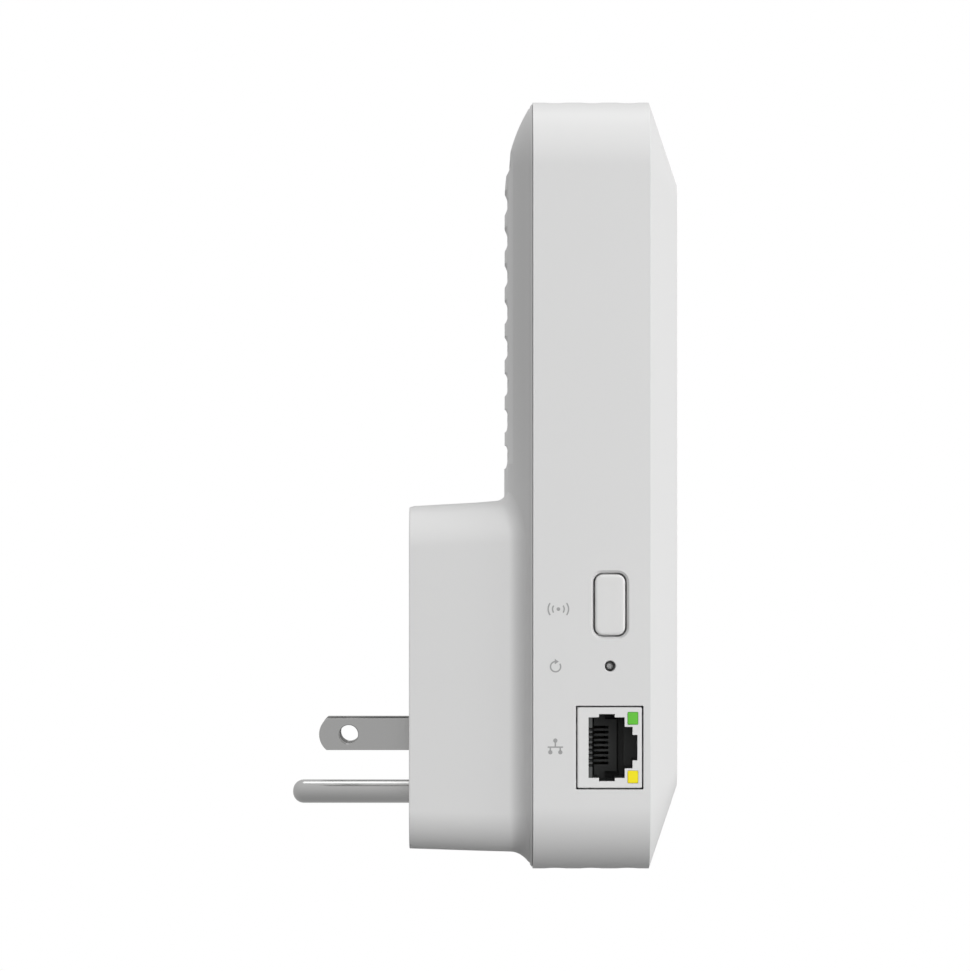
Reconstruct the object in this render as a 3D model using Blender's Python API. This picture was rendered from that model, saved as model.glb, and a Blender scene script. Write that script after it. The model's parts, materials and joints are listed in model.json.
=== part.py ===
"""A plug-in wireless range extender, built as the assembly that comes apart on a bench.

Two moulded shells close round a logic board and a power board. The rear shell grows into the
plug block, whose end plate carries two blades and a round earth pin. The left side wall has
the pairing button, the reset hole and the cable socket.

Every size is in millimetres and becomes metres when a mesh is written. Places are given as
(x, depth, z): x is across the body, depth runs from the wall plate out into the room, and z is
height above the blades. World Y is minus depth, so the front faces -Y and the prongs point +Y.
"""

import math

import bmesh
import bpy
from mathutils import Vector

MM = 0.001

# Body, as seen from the front
BODY_WIDTH = 80.0
BODY_HEIGHT = 152.1
BODY_MID_Z = 50.4  # the blades sit this far below the middle of the body
BODY_CORNER = 13.0
CORNER_STEPS = 7
WALL = 1.8

# Depths from the wall plate
REAR_PLANE = 19.0  # the back of the body, where the vents are
SEAM = 24.45  # where the two shells meet
SIDE_EDGE = 47.5  # where the side walls turn into the front facets
FRONT_PLANE = 53.3
SEAM_GAP = 0.3

# Front facets
FACET_WIDTH = 16.0
FRONT_PANEL_CORNER = 4.0
EDGE_SOFTENING = 0.25

# Rear shell
REAR_CURVE = 18.0  # how far in from the outline the back is curved
TONGUE_REACH = 2.3  # how far the rear shell's tongue goes into the front shell
TONGUE_OUTER = 1.35
TONGUE_INNER = 2.4

# Flutes and their slots
FLUTE_PITCH = 7.2
FLUTE_HEIGHT = 4.8
FLUTE_DEPTH = 0.65
REAR_FLUTES = 9
LOWEST_FLUTE_Z = 56.2
SLOT_WIDTH = 1.5
SLOT_LENGTH = 11.0
SLOT_SPACING = 14.0
SLOTS_PER_FLUTE = 3
END_FLUTE_DEPTHS = (28.95, 36.1, 43.3)  # the flutes across the top and the bottom

# Plug block
BLOCK_HALF_WIDTH = 34.9
BLOCK_BOTTOM_Z = -21.7
BLOCK_TOP_Z = 46.1
BLOCK_CORNER = 8.0
BLOCK_SIDE_DRAFT = 0.045  # outward growth per millimetre of depth
BLOCK_TOP_DRAFT = 0.056
BLOCK_BOTTOM_DRAFT = 0.03
BLOCK_FILLET = 2.4
BLOCK_WALL = 2.4
PLATE_THICKNESS = 2.4
PLATE_LEDGE = 0.8
FIT = 0.2

# Prongs, to the three-pin 15 A pattern
BLADE_SPACING = 12.7
BLADE_WIDTH = 6.35
BLADE_THICKNESS = 1.52
BLADE_LENGTH = 18.6
BLADE_HOLE_RADIUS = 1.85
BLADE_HOLE_FROM_TIP = 6.0
BLADE_TIP_RISE = 1.5  # how far the middle of the tip stands out from its corners
PIN_RADIUS = 2.39
PIN_LENGTH = 24.2
PIN_DROP = 11.89
PRONG_TAIL = 7.5
BORE_CLEARANCE = 0.1

# Rating label, blank, set into the end plate
LABEL_HALF = (26.0, 10.0)
LABEL_CENTRE = (0.0, 28.0)
LABEL_RECESS = 0.3

# Side wall controls, all on one line down the wall
CONTROL_DEPTH = 39.55
BUTTON_Z = 27.0
BUTTON_WIDTH = 6.0
BUTTON_HEIGHT = 12.0
BUTTON_CORNER = 1.6
BUTTON_GAP = 0.3
BUTTON_PROUD = 0.25
RESET_Z = 14.95
RESET_HOLE_RADIUS = 1.05
CUT_BEYOND = 0.4  # how far a cutter goes past the inside of a wall

# Tactile switches behind the button and the reset hole
SWITCH_FACE = -35.0
SWITCH_BACK = -31.6
SWITCH_HALF = 3.0
SWITCH_TIP = -35.9
PLUNGER_RADIUS = 1.6
PLUNGER_BORE = PLUNGER_RADIUS + 0.15
PLUNGER_ROOT = -34.5
PLUNGER_GAP = 0.05
RESET_TIP = -BODY_WIDTH / 2 + WALL + 0.15

# Cable socket
SOCKET_Z = -1.05
SOCKET_WIDTH = 13.0
SOCKET_HEIGHT = 16.3
SOCKET_LENGTH = 18.0
SOCKET_X = -BODY_WIDTH / 2 + 0.2  # the socket's face sits just below the side wall
SOCKET_GAP = 0.25
SHIELD = 0.35
PORT_HEIGHT = 11.9
PORT_DEEP = 12.8
PORT_FLOOR = CONTROL_DEPTH - 4.15  # depth of the contact side
PORT_CEILING = CONTROL_DEPTH + 2.95
CONTACT_COUNT = 8
CONTACT_PITCH = 1.016
CONTACT_SIZE = 0.36
CONTACT_PIVOT_IN = 3.0  # how far in from the face the contacts bend
CONTACT_PIVOT_DEPTH = PORT_FLOOR - 0.7
CONTACT_TIP_IN = 12.4
CONTACT_TIP_DEPTH = PORT_FLOOR + 3.45
COMB_TOP = PORT_FLOOR + 3.85
COMB_SLOT = 0.58
LAMP_OFF_CENTRE = 5.75
LAMP_HALF = 1.25
LAMP_DEPTHS = (CONTROL_DEPTH + 3.5, CONTROL_DEPTH + 5.6)
LAMP_GAP = 0.08
LAMP_LENGTH = 8.8

# Boards
BOARD_THICKNESS = 1.2
MAIN_BOARD_FRONT = 36.5
MAIN_BOARD_HALF_WIDTH = 36.0
MAIN_BOARD_BOTTOM = -22.5
MAIN_BOARD_TOP = 113.0
POWER_BOARD_REAR = 23.2
POWER_BOARD_THICKNESS = 1.6
SEATING = 0.1  # how far a part stands off the board that carries it
ON_MAIN_BOARD = MAIN_BOARD_FRONT + SEATING
ON_POWER_BOARD = POWER_BOARD_REAR - SEATING
BOSS_PLACES = ((-31.0, -17.0), (31.0, -17.0), (-31.0, 106.0), (31.0, 106.0))
BOSS_RADIUS = 2.8
BOSS_BORE = 1.35
SCREW_RADIUS = 1.15
SCREW_LENGTH = 7.3
SCREW_HEAD_RADIUS = 2.1
SCREW_HEAD_HEIGHT = 1.5
SCREW_RECESS = (2.1, 0.56)  # length and width of each bar of the cross
INDICATOR_PLACES = (20.0, 28.0, 36.0, 44.0)
INDICATOR_RADIUS = 1.0
LIGHT_BAR = (48.6, 50.2)  # depths of the bar that joins the light guides

# Larger components
TRANSFORMER = (12.0, 24.0)
CORE_DEPTHS = (8.0, 22.6)
CORE_WINDOW = (10.4, 20.2)
LEG_RADIUS = 2.8
LEG_DEPTHS = (9.0, 21.5)
WINDING_RADIUS = 7.0
FLANGE_RADIUS = 7.6
HEATSINK_BASE = 39.3
HEATSINK_TIP = 46.6
HEATSINK_HALF_WIDTH = 19.0
HEATSINK_ENDS = (62.0, 98.0)
LEAD_RADIUS = 0.9
ANTENNA_LEAD_RADIUS = 0.55

LOOKS = {
    "shell_plastic": ((0.73, 0.73, 0.72), 0.42, 0.0),
    "button_plastic": ((0.75, 0.75, 0.74), 0.38, 0.0),
    "prong_metal": ((0.62, 0.62, 0.6), 0.28, 1.0),
    "socket_metal": ((0.76, 0.76, 0.75), 0.35, 0.6),
    "socket_plastic": ((0.02, 0.02, 0.022), 0.45, 0.0),
    "contact_metal": ((0.42, 0.36, 0.22), 0.3, 1.0),
    "green_lens": ((0.13, 0.5, 0.07), 0.3, 0.0),
    "yellow_lens": ((0.85, 0.75, 0.02), 0.3, 0.0),
    "clear_plastic": ((0.85, 0.87, 0.88), 0.12, 0.0),
    "board_laminate": ((0.02, 0.12, 0.05), 0.5, 0.0),
    "tinned_steel": ((0.6, 0.6, 0.58), 0.35, 1.0),
    "aluminium": ((0.7, 0.7, 0.71), 0.4, 1.0),
    "component_plastic": ((0.03, 0.03, 0.03), 0.5, 0.0),
    "capacitor_sleeve": ((0.03, 0.05, 0.12), 0.35, 0.0),
    "ferrite": ((0.06, 0.06, 0.065), 0.6, 0.0),
    "winding_tape": ((0.75, 0.55, 0.08), 0.45, 0.0),
    "insulation_film": ((0.8, 0.78, 0.7), 0.35, 0.0),
    "wire_sleeve": ((0.05, 0.05, 0.05), 0.4, 0.0),
    "antenna_metal": ((0.72, 0.5, 0.25), 0.35, 1.0),
    "thermal_pad": ((0.35, 0.42, 0.55), 0.8, 0.0),
    "label_film": ((0.8, 0.8, 0.79), 0.5, 0.0),
}


# ---------------------------------------------------------------- objects and materials


def clear_scene():
    for obj in list(bpy.data.objects):
        bpy.data.objects.remove(obj, do_unlink=True)


def material(look):
    found = bpy.data.materials.get(look)
    if found:
        return found
    colour, roughness, metallic = LOOKS[look]
    made = bpy.data.materials.new(look)
    made.use_nodes = True
    shader = made.node_tree.nodes["Principled BSDF"]
    shader.inputs["Base Color"].default_value = (*colour, 1.0)
    shader.inputs["Roughness"].default_value = roughness
    shader.inputs["Metallic"].default_value = metallic
    return made


def place(x, depth, z):
    """A point in the object's own words as a point in the world, in metres."""
    return Vector((x, -depth, z)) * MM


def solid(name, bm, look, origin=(0.0, 0.0, 0.0)):
    """Writes the mesh as a named object whose origin is at the given (x, depth, z)."""
    centre = place(*origin)
    bmesh.ops.recalc_face_normals(bm, faces=bm.faces)
    bmesh.ops.translate(bm, vec=-centre, verts=bm.verts)
    mesh = bpy.data.meshes.new(name)
    bm.to_mesh(mesh)
    bm.free()
    mesh.materials.append(material(look))
    mesh.shade_smooth()
    mesh.set_sharp_from_angle(angle=math.radians(30))
    obj = bpy.data.objects.new(name, mesh)
    obj.location = centre
    bpy.context.scene.collection.objects.link(obj)
    return obj


def helper(name, bm):
    """A cutter or a filler: used by a Boolean, and no part of the object itself."""
    obj = solid(name, bm, "shell_plastic")
    obj.hide_render = True
    obj.display_type = "WIRE"
    return obj


def combine(target, tool_bm, operation, name):
    modifier = target.modifiers.new(name, "BOOLEAN")
    modifier.operation = operation
    modifier.solver = "EXACT"
    modifier.object = helper(f"{target.name}_{name}", tool_bm)


def cut(target, tool_bm, name):
    combine(target, tool_bm, "DIFFERENCE", name)


def add(target, tool_bm, name):
    combine(target, tool_bm, "UNION", name)


# ---------------------------------------------------------------- outlines


def rounded_rectangle(half_u, half_v, radius, steps=CORNER_STEPS, centre=(0.0, 0.0)):
    """Corner arcs joined by straight sides, anticlockwise, as (u, v) pairs."""
    points = []
    for quarter, (side_u, side_v) in enumerate(((1, 1), (-1, 1), (-1, -1), (1, -1))):
        corner_u = side_u * (half_u - radius)
        corner_v = side_v * (half_v - radius)
        for step in range(steps + 1):
            angle = math.pi / 2 * (quarter + step / steps)
            points.append(
                (
                    centre[0] + corner_u + radius * math.cos(angle),
                    centre[1] + corner_v + radius * math.sin(angle),
                )
            )
    return points


def circle(radius, steps, centre=(0.0, 0.0)):
    turns = (2 * math.pi * step / steps for step in range(steps))
    return [
        (centre[0] + radius * math.cos(turn), centre[1] + radius * math.sin(turn))
        for turn in turns
    ]


def slot_outline(length, width, centre, end_steps=3):
    """A slot with round ends that lies along the first coordinate."""
    radius = width / 2
    points = []
    for side, start in ((1, -math.pi / 2), (-1, math.pi / 2)):
        for step in range(end_steps + 1):
            angle = start + math.pi * step / end_steps
            points.append(
                (
                    centre[0] + side * (length / 2 - radius) + radius * math.cos(angle),
                    centre[1] + radius * math.sin(angle),
                )
            )
    return points


def smooth_route(points, steps_per_span):
    """Points on one smooth curve through the given points (Catmull-Rom)."""
    nodes = [Vector(point) for point in points]
    padded = [2 * nodes[0] - nodes[1], *nodes, 2 * nodes[-1] - nodes[-2]]
    route = []
    for before, start, end, after in zip(padded, padded[1:], padded[2:], padded[3:]):
        for step in range(steps_per_span):
            t = step / steps_per_span
            route.append(
                0.5
                * (
                    2 * start
                    + (end - before) * t
                    + (2 * before - 5 * start + 4 * end - after) * t**2
                    + (3 * start - before - 3 * end + after) * t**3
                )
            )
    return [*route, nodes[-1]]


# ---------------------------------------------------------------- solids from outlines


def loft(bm, rings):
    """Skins rings of equal count and caps the first and the last."""
    loops = [[bm.verts.new(place(*point)) for point in ring] for ring in rings]
    for near, far in zip(loops, loops[1:]):
        for i, corner in enumerate(near):
            following = (i + 1) % len(near)
            bm.faces.new((corner, near[following], far[following], far[i]))
    bm.faces.new(loops[0])
    bm.faces.new(list(reversed(loops[-1])))
    return bm


def extrude(bm, outline, axis, start, end):
    """Draws the outline across an axis and extrudes it.

    The outline is (depth, z) for axis "x", (x, z) for "depth" and (x, depth) for "z".
    """
    at = {
        "x": lambda a, b, along: (along, a, b),
        "depth": lambda a, b, along: (a, along, b),
        "z": lambda a, b, along: (a, b, along),
    }[axis]
    return loft(bm, [[at(a, b, along) for a, b in outline] for along in (start, end)])


def block(bm, x, depth, z):
    """A plain box between pairs of limits."""
    outline = [(x[0], z[0]), (x[1], z[0]), (x[1], z[1]), (x[0], z[1])]
    return extrude(bm, outline, "depth", *depth)


def turned(bm, axis, centre, profile, steps=16):
    """A turned piece: profile is (place along the axis, radius) pairs."""
    rings = []
    for along, radius in profile:
        ring = circle(radius, steps, centre)
        if axis == "x":
            rings.append([(along, a, b) for a, b in ring])
        elif axis == "depth":
            rings.append([(a, along, b) for a, b in ring])
        else:
            rings.append([(a, b, along) for a, b in ring])
    return loft(bm, rings)


def body_ring(depth, inset):
    """The body's outline, drawn in by an inset, at one depth."""
    return outline_ring(
        depth,
        BODY_WIDTH / 2 - inset,
        BODY_HEIGHT / 2 - inset,
        max(BODY_CORNER - inset, 1.0),
    )


def outline_ring(depth, half_width, half_height, corner):
    points = rounded_rectangle(half_width, half_height, corner, centre=(0, BODY_MID_Z))
    return [(x, depth, z) for x, z in points]


# ---------------------------------------------------------------- front shell


def front_shell():
    """Side walls and faceted front in one moulding, open towards the rear."""
    panel_half_width = BODY_WIDTH / 2 - FACET_WIDTH
    panel_half_height = BODY_HEIGHT / 2 - FACET_WIDTH
    soft = EDGE_SOFTENING
    inner_panel = 0.7  # the inside of the facets is drawn in by this much
    rings = [
        outline_ring(
            FRONT_PLANE - WALL - 0.1,
            panel_half_width - inner_panel,
            panel_half_height - inner_panel,
            FRONT_PANEL_CORNER - 0.4,
        ),
        body_ring(SIDE_EDGE - inner_panel, WALL),
        body_ring(SEAM + TONGUE_REACH + 0.3, WALL),
        body_ring(SEAM + TONGUE_REACH + 0.3, TONGUE_OUTER - FIT),
        body_ring(SEAM, TONGUE_OUTER - FIT),
        body_ring(SEAM, soft),
        body_ring(SEAM + soft, 0.0),
        body_ring(SIDE_EDGE, 0.0),
        body_ring(SIDE_EDGE + 0.15, 0.15),
        outline_ring(
            FRONT_PLANE - 0.12,
            panel_half_width + 0.45,
            panel_half_height + 0.45,
            FRONT_PANEL_CORNER + 0.3,
        ),
        outline_ring(
            FRONT_PLANE, panel_half_width, panel_half_height, FRONT_PANEL_CORNER
        ),
    ]
    shell = solid("front_shell", loft(bmesh.new(), rings), "shell_plastic")
    add(shell, screw_bosses(), "bosses")
    add(shell, snap_catches(), "catches")
    cut(shell, boss_bores(), "boss_bores")
    cut(shell, end_flutes(), "end_flutes")
    cut(shell, end_slots(), "end_slots")
    cut(shell, wall_cutouts(), "wall_cutouts")
    cut(shell, indicator_holes(), "indicator_holes")
    return shell


def screw_bosses():
    bm = bmesh.new()
    for x, z in BOSS_PLACES:
        profile = (
            (ON_MAIN_BOARD, BOSS_RADIUS),
            (FRONT_PLANE - 4.0, BOSS_RADIUS + 0.2),
        )
        turned(bm, "depth", (x, z), profile, steps=12)
    return bm


def boss_bores():
    bm = bmesh.new()
    for x, z in BOSS_PLACES:
        profile = ((MAIN_BOARD_FRONT - 1.0, BOSS_BORE), (MAIN_BOARD_FRONT + 8.0, BOSS_BORE))
        turned(bm, "depth", (x, z), profile, steps=10)
    return bm


def snap_places():
    """(side, z) of each snap on the long walls, and x of each one on the short walls."""
    long_walls = ((-1, 92.0), (-1, 50.0), (1, 92.0), (1, 50.0), (1, 8.0))
    short_walls = ((1, -23.4), (1, 23.4), (-1, -23.4), (-1, 23.4))
    return long_walls, short_walls


def snap_catches():
    """Ledges inside the front shell that the rear shell's hooks pass and spring behind."""
    bm = bmesh.new()
    depth = (28.4, 29.5)
    inner, outer = 2.55, 1.0
    long_walls, short_walls = snap_places()
    for side, z in long_walls:
        near, far = BODY_WIDTH / 2 - inner, BODY_WIDTH / 2 - outer
        block(bm, sorted((side * near, side * far)), depth, (z - 5, z + 5))
    for side, x in short_walls:
        near, far = BODY_HEIGHT / 2 - inner, BODY_HEIGHT / 2 - outer
        limits = sorted((BODY_MID_Z + side * near, BODY_MID_Z + side * far))
        block(bm, (x - 3, x + 3), depth, limits)
    return bm


def end_flutes():
    """Shallow flutes across the top and the bottom, which fade out towards the corners."""
    bm = bmesh.new()
    stations = ((-29.5, 0.12), (-26.0, 0.22), (-21.0, 0.7))
    stations += tuple((-x, depth) for x, depth in reversed(stations))
    for depth in END_FLUTE_DEPTHS:
        for side in (1, -1):
            wall_z = BODY_MID_Z + side * BODY_HEIGHT / 2
            rings = []
            for x, sink in stations:
                half = FLUTE_HEIGHT / 2
                profile = [(half, 1.0), (half, 0.0)]
                for step in range(1, 6):
                    turn = math.pi * step / 6
                    profile.append((half * math.cos(turn), -sink * math.sin(turn)))
                profile += [(-half, 0.0), (-half, 1.0)]
                rings.append([(x, depth + a, wall_z + side * b) for a, b in profile])
            loft(bm, rings)
    return bm


def end_slots():
    """Slots through the top and bottom walls, along the bottoms of the flutes."""
    bm = bmesh.new()
    for depth in END_FLUTE_DEPTHS:
        for side in (1, -1):
            wall_z = BODY_MID_Z + side * BODY_HEIGHT / 2
            for column in range(SLOTS_PER_FLUTE):
                x = (column - (SLOTS_PER_FLUTE - 1) / 2) * SLOT_SPACING
                outline = slot_outline(SLOT_LENGTH, SLOT_WIDTH, (x, depth))
                limits = sorted((wall_z - side * (WALL + CUT_BEYOND), wall_z + side))
                extrude(bm, outline, "z", *limits)
    return bm


def wall_cutouts():
    """Openings in the left wall for the button, the reset hole and the cable socket."""
    bm = bmesh.new()
    outside = -BODY_WIDTH / 2
    before, inside = outside - 0.5, outside + WALL + CUT_BEYOND
    centre = (CONTROL_DEPTH, BUTTON_Z)
    half_width = BUTTON_WIDTH / 2 + BUTTON_GAP
    half_height = BUTTON_HEIGHT / 2 + BUTTON_GAP
    corner = BUTTON_CORNER + BUTTON_GAP
    rim, rim_depth = 0.55, 0.4
    stations = ((before, rim), (outside, rim), (outside + rim_depth, 0.0), (inside, 0.0))
    rings = [
        [
            (x, a, b)
            for a, b in rounded_rectangle(
                half_width + grow, half_height + grow, corner + grow, 4, centre
            )
        ]
        for x, grow in stations
    ]
    loft(bm, rings)
    chamfer = 0.15
    hole = (
        (before, RESET_HOLE_RADIUS + chamfer),
        (outside, RESET_HOLE_RADIUS + chamfer),
        (outside + chamfer, RESET_HOLE_RADIUS),
        (inside, RESET_HOLE_RADIUS),
    )
    turned(bm, "x", (CONTROL_DEPTH, RESET_Z), hole, steps=16)
    half_width = SOCKET_WIDTH / 2 + SOCKET_GAP
    half_height = SOCKET_HEIGHT / 2 + SOCKET_GAP
    block(
        bm,
        (before, inside),
        (CONTROL_DEPTH - half_width, CONTROL_DEPTH + half_width),
        (SOCKET_Z - half_height, SOCKET_Z + half_height),
    )
    return bm


def indicator_holes():
    bm = bmesh.new()
    for z in INDICATOR_PLACES:
        profile = (
            (FRONT_PLANE - WALL - 0.8, INDICATOR_RADIUS + 0.15),
            (FRONT_PLANE + 0.5, INDICATOR_RADIUS + 0.15),
        )
        turned(bm, "depth", (0.0, z), profile, steps=12)
    return bm


# ---------------------------------------------------------------- rear shell


def rear_depth(inset):
    """Depth of the rear shell's outer face at an inset from the outline: flat, then an arc."""
    drop = SEAM - REAR_PLANE
    radius = (REAR_CURVE**2 + drop**2) / (2 * drop)
    run = max(REAR_CURVE - inset, 0.0)
    return REAR_PLANE + radius - math.sqrt(radius**2 - run**2)


def inset_at(x, z):
    """How far a point lies inside the body's outline."""
    across = abs(x) - (BODY_WIDTH / 2 - BODY_CORNER)
    along = abs(z - BODY_MID_Z) - (BODY_HEIGHT / 2 - BODY_CORNER)
    if across > 0 and along > 0:
        return BODY_CORNER - math.hypot(across, along)
    return BODY_CORNER - max(across, along)


def rear_shell():
    """Dished back with the plug block grown out of it."""
    rim = SEAM - SEAM_GAP
    rim_inset = 0.5
    groove = 1.15
    inner = [(inset, rear_depth(inset) + WALL) for inset in (REAR_CURVE, 12.0, 6.5, 2.9)]
    outer = (1.9, 3.2, 5.0, 7.0, 9.5, 12.5, REAR_CURVE)
    rings = [body_ring(depth, inset) for inset, depth in inner]
    rings += [
        body_ring(SEAM + 0.9, TONGUE_INNER),
        body_ring(SEAM + TONGUE_REACH, TONGUE_INNER),
        body_ring(SEAM + TONGUE_REACH, TONGUE_OUTER),
        body_ring(rim, TONGUE_OUTER),
        body_ring(rim, rim_inset),
        body_ring(rear_depth(groove - 0.2), groove - 0.2),
        body_ring(rear_depth(groove) + 0.35, groove + 0.1),
        body_ring(rear_depth(groove + 0.25), groove + 0.25),
    ]
    rings += [body_ring(rear_depth(inset), inset) for inset in outer]
    shell = solid("rear_shell", loft(bmesh.new(), rings), "shell_plastic")
    add(shell, plug_block(), "plug_block")
    cut(shell, block_cavity(), "block_cavity")
    add(shell, snap_hooks(), "snap_hooks")
    cut(shell, rear_flutes(), "flutes")
    cut(shell, rear_slots(), "slots")
    return shell


def block_outline(depth, grow=0.0):
    """The plug block's drafted section at one depth, as (x, z) pairs."""
    half_width = BLOCK_HALF_WIDTH + BLOCK_SIDE_DRAFT * depth + grow
    top = BLOCK_TOP_Z + BLOCK_TOP_DRAFT * depth + grow
    bottom = BLOCK_BOTTOM_Z - BLOCK_BOTTOM_DRAFT * depth - grow
    middle = (0.0, (top + bottom) / 2)
    corner = max(BLOCK_CORNER + grow, 1.0)
    return rounded_rectangle(half_width, (top - bottom) / 2, corner, centre=middle)


def plug_block():
    """The block's outside, flared by a fillet where it meets the dished back."""
    wall = block_outline(REAR_PLANE)
    spread = block_outline(REAR_PLANE, BLOCK_FILLET)
    within = block_outline(REAR_PLANE, -BLOCK_WALL - 1.2)
    foot, joint, start = [], [], []
    for (x, z), (far_x, far_z) in zip(wall, spread):
        inset = inset_at(far_x, far_z)
        if inset < 1.6:  # too near the seam for the whole fillet
            share = max(0.0, (inset_at(x, z) - 1.6) / (inset_at(x, z) - inset))
            far_x, far_z = x + (far_x - x) * share, z + (far_z - z) * share
        foot.append((far_x, rear_depth(inset_at(far_x, far_z)) + 0.04, far_z))
        joint.append((x, rear_depth(inset_at(x, z)), z))
        start.append((x, rear_depth(inset_at(x, z)) - BLOCK_FILLET, z))
    rings = [
        [(x, 0.0, z) for x, z in block_outline(0.0, -0.25)],
        [(x, 0.25, z) for x, z in block_outline(0.25)],
        [(x, 14.5, z) for x, z in block_outline(14.5)],
        [tuple(Vector(point)) for point in start],
    ]
    for t in (0.33, 0.66):
        rings.append(
            [
                tuple(
                    Vector(a) * (1 - t) ** 2 + Vector(b) * 2 * t * (1 - t) + Vector(c) * t**2
                )
                for a, b, c in zip(start, joint, foot)
            ]
        )
    rings.append(foot)
    buried = WALL / 2
    rings.append([(x, rear_depth(inset_at(x, z)) + buried, z) for x, z in wall])
    rings.append(
        [
            (x, rear_depth(inset_at(*outer)) + buried, z)
            for (x, z), outer in zip(within, wall)
        ]
    )
    return loft(bmesh.new(), rings)


def block_cavity():
    """The inside of the block, with a ledge that the end plate sits on."""
    seat = PLATE_THICKNESS + FIT
    lip = -(BLOCK_WALL - PLATE_LEDGE)
    rings = [
        [(x, -1.0, z) for x, z in block_outline(0.0, lip)],
        [(x, seat, z) for x, z in block_outline(0.0, lip)],
        [(x, seat, z) for x, z in block_outline(0.0, -BLOCK_WALL)],
        [(x, 26.0, z) for x, z in block_outline(10.0, -BLOCK_WALL)],
    ]
    return loft(bmesh.new(), rings)


def snap_hooks():
    """Cantilever hooks on the tongue, each with a barb behind a catch in the front shell."""
    bm = bmesh.new()
    inner, outer, barb = 4.0, 2.75, 2.1
    root, barb_start, tip = SEAM + 0.4, 29.8, 31.4
    profile = (
        (inner, root),
        (outer - 0.6, root),
        (outer - 0.6, root + 1.2),
        (outer, root + 1.8),
        (outer, barb_start),
        (barb, barb_start),
        (barb, barb_start + 0.4),
        (outer, tip),
        (inner, tip),
    )
    long_walls, short_walls = snap_places()
    for side, z in long_walls:
        outline = [(side * (BODY_WIDTH / 2 - inset), depth) for inset, depth in profile]
        extrude(bm, outline, "z", z - 3.5, z + 3.5)
    for side, x in short_walls:
        outline = [
            (depth, BODY_MID_Z + side * (BODY_HEIGHT / 2 - inset))
            for inset, depth in profile
        ]
        extrude(bm, outline, "x", x - 2.5, x + 2.5)
    return bm


def flute_profile(z, sink):
    """A scoop that drops in sharply at its top and runs out gently at its foot."""
    half = FLUTE_HEIGHT / 2
    profile = [(REAR_PLANE - 1.5, z + half), (REAR_PLANE, z + half)]
    for step in range(1, 4):
        turn = math.pi / 2 * step / 3
        profile.append(
            (REAR_PLANE + sink * math.sin(turn), z + half - 1.0 * (1 - math.cos(turn)))
        )
    for step in range(1, 5):
        turn = math.pi / 2 * step / 4
        profile.append(
            (REAR_PLANE + sink * math.cos(turn), z - 0.4 - (half - 0.4) * math.sin(turn))
        )
    profile.append((REAR_PLANE - 1.5, z - half))
    return profile


def rear_flutes():
    bm = bmesh.new()
    for row in range(REAR_FLUTES):
        topmost = row == REAR_FLUTES - 1
        sink = FLUTE_DEPTH + (0.45 if topmost else 0.0)
        profile = flute_profile(LOWEST_FLUTE_Z + row * FLUTE_PITCH, sink)
        extrude(bm, profile, "x", -BODY_WIDTH / 2 - 1, BODY_WIDTH / 2 + 1)
    return bm


def rear_slots():
    bm = bmesh.new()
    for row in range(REAR_FLUTES):
        z = LOWEST_FLUTE_Z + row * FLUTE_PITCH + 0.3
        for column in range(SLOTS_PER_FLUTE):
            x = (column - (SLOTS_PER_FLUTE - 1) / 2) * SLOT_SPACING
            outline = slot_outline(SLOT_LENGTH, SLOT_WIDTH, (x, z))
            extrude(bm, outline, "depth", REAR_PLANE - 1, REAR_PLANE + WALL + 1)
    return bm


# ---------------------------------------------------------------- plug


def plug_plate():
    """Closes the end of the block and carries the prongs."""
    margin = -(BLOCK_WALL - PLATE_LEDGE) - FIT
    rings = [
        [(x, depth, z) for x, z in block_outline(0.0, margin)]
        for depth in (0.0, PLATE_THICKNESS)
    ]
    plate = solid("plug_plate", loft(bmesh.new(), rings), "shell_plastic")
    collar = bmesh.new()
    middle_z = -PIN_DROP / 2 + 1.0
    block(collar, (-11.5, 11.5), (PLATE_THICKNESS - 0.5, 6.0), (middle_z - 11.5, middle_z + 9.5))
    add(plate, collar, "prong_carrier")
    bores = bmesh.new()
    half_thick = BLADE_THICKNESS / 2 + BORE_CLEARANCE
    half_wide = BLADE_WIDTH / 2 + BORE_CLEARANCE
    for side in (-1, 1):
        x = side * BLADE_SPACING / 2
        block(bores, (x - half_thick, x + half_thick), (-1.0, 7.0), (-half_wide, half_wide))
    bore_radius = PIN_RADIUS + BORE_CLEARANCE
    turned(bores, "depth", (0.0, -PIN_DROP), ((-1.0, bore_radius), (7.0, bore_radius)), steps=20)
    cut(plate, bores, "prong_bores")
    recess = rounded_rectangle(LABEL_HALF[0] + 0.4, LABEL_HALF[1] + 0.4, 1.9, 3, LABEL_CENTRE)
    cut(plate, extrude(bmesh.new(), recess, "depth", -1.0, LABEL_RECESS), "label_recess")
    return plate


def blade(name, side):
    """A flat contact blade whose tip is one arc from edge to edge, with a through hole."""
    x = side * BLADE_SPACING / 2
    half_width = BLADE_WIDTH / 2
    half_thick = BLADE_THICKNESS / 2
    tip = -BLADE_LENGTH
    radius = (half_width**2 + BLADE_TIP_RISE**2) / (2 * BLADE_TIP_RISE)
    swing = math.asin(half_width / radius)
    steps = 10
    outline = [(PRONG_TAIL, half_width)]
    for step in range(steps + 1):
        angle = swing * (1 - 2 * step / steps)
        outline.append((tip + radius * (1 - math.cos(angle)), radius * math.sin(angle)))
    outline.append((PRONG_TAIL, -half_width))
    bm = extrude(bmesh.new(), outline, "x", x - half_thick, x + half_thick)
    prong = solid(name, bm, "prong_metal")
    hole = bmesh.new()
    centre = (tip + BLADE_HOLE_FROM_TIP, 0.0)
    extrude(hole, circle(BLADE_HOLE_RADIUS, 20, centre), "x", x - 2.0, x + 2.0)
    cut(prong, hole, "hole")
    return prong


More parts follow.
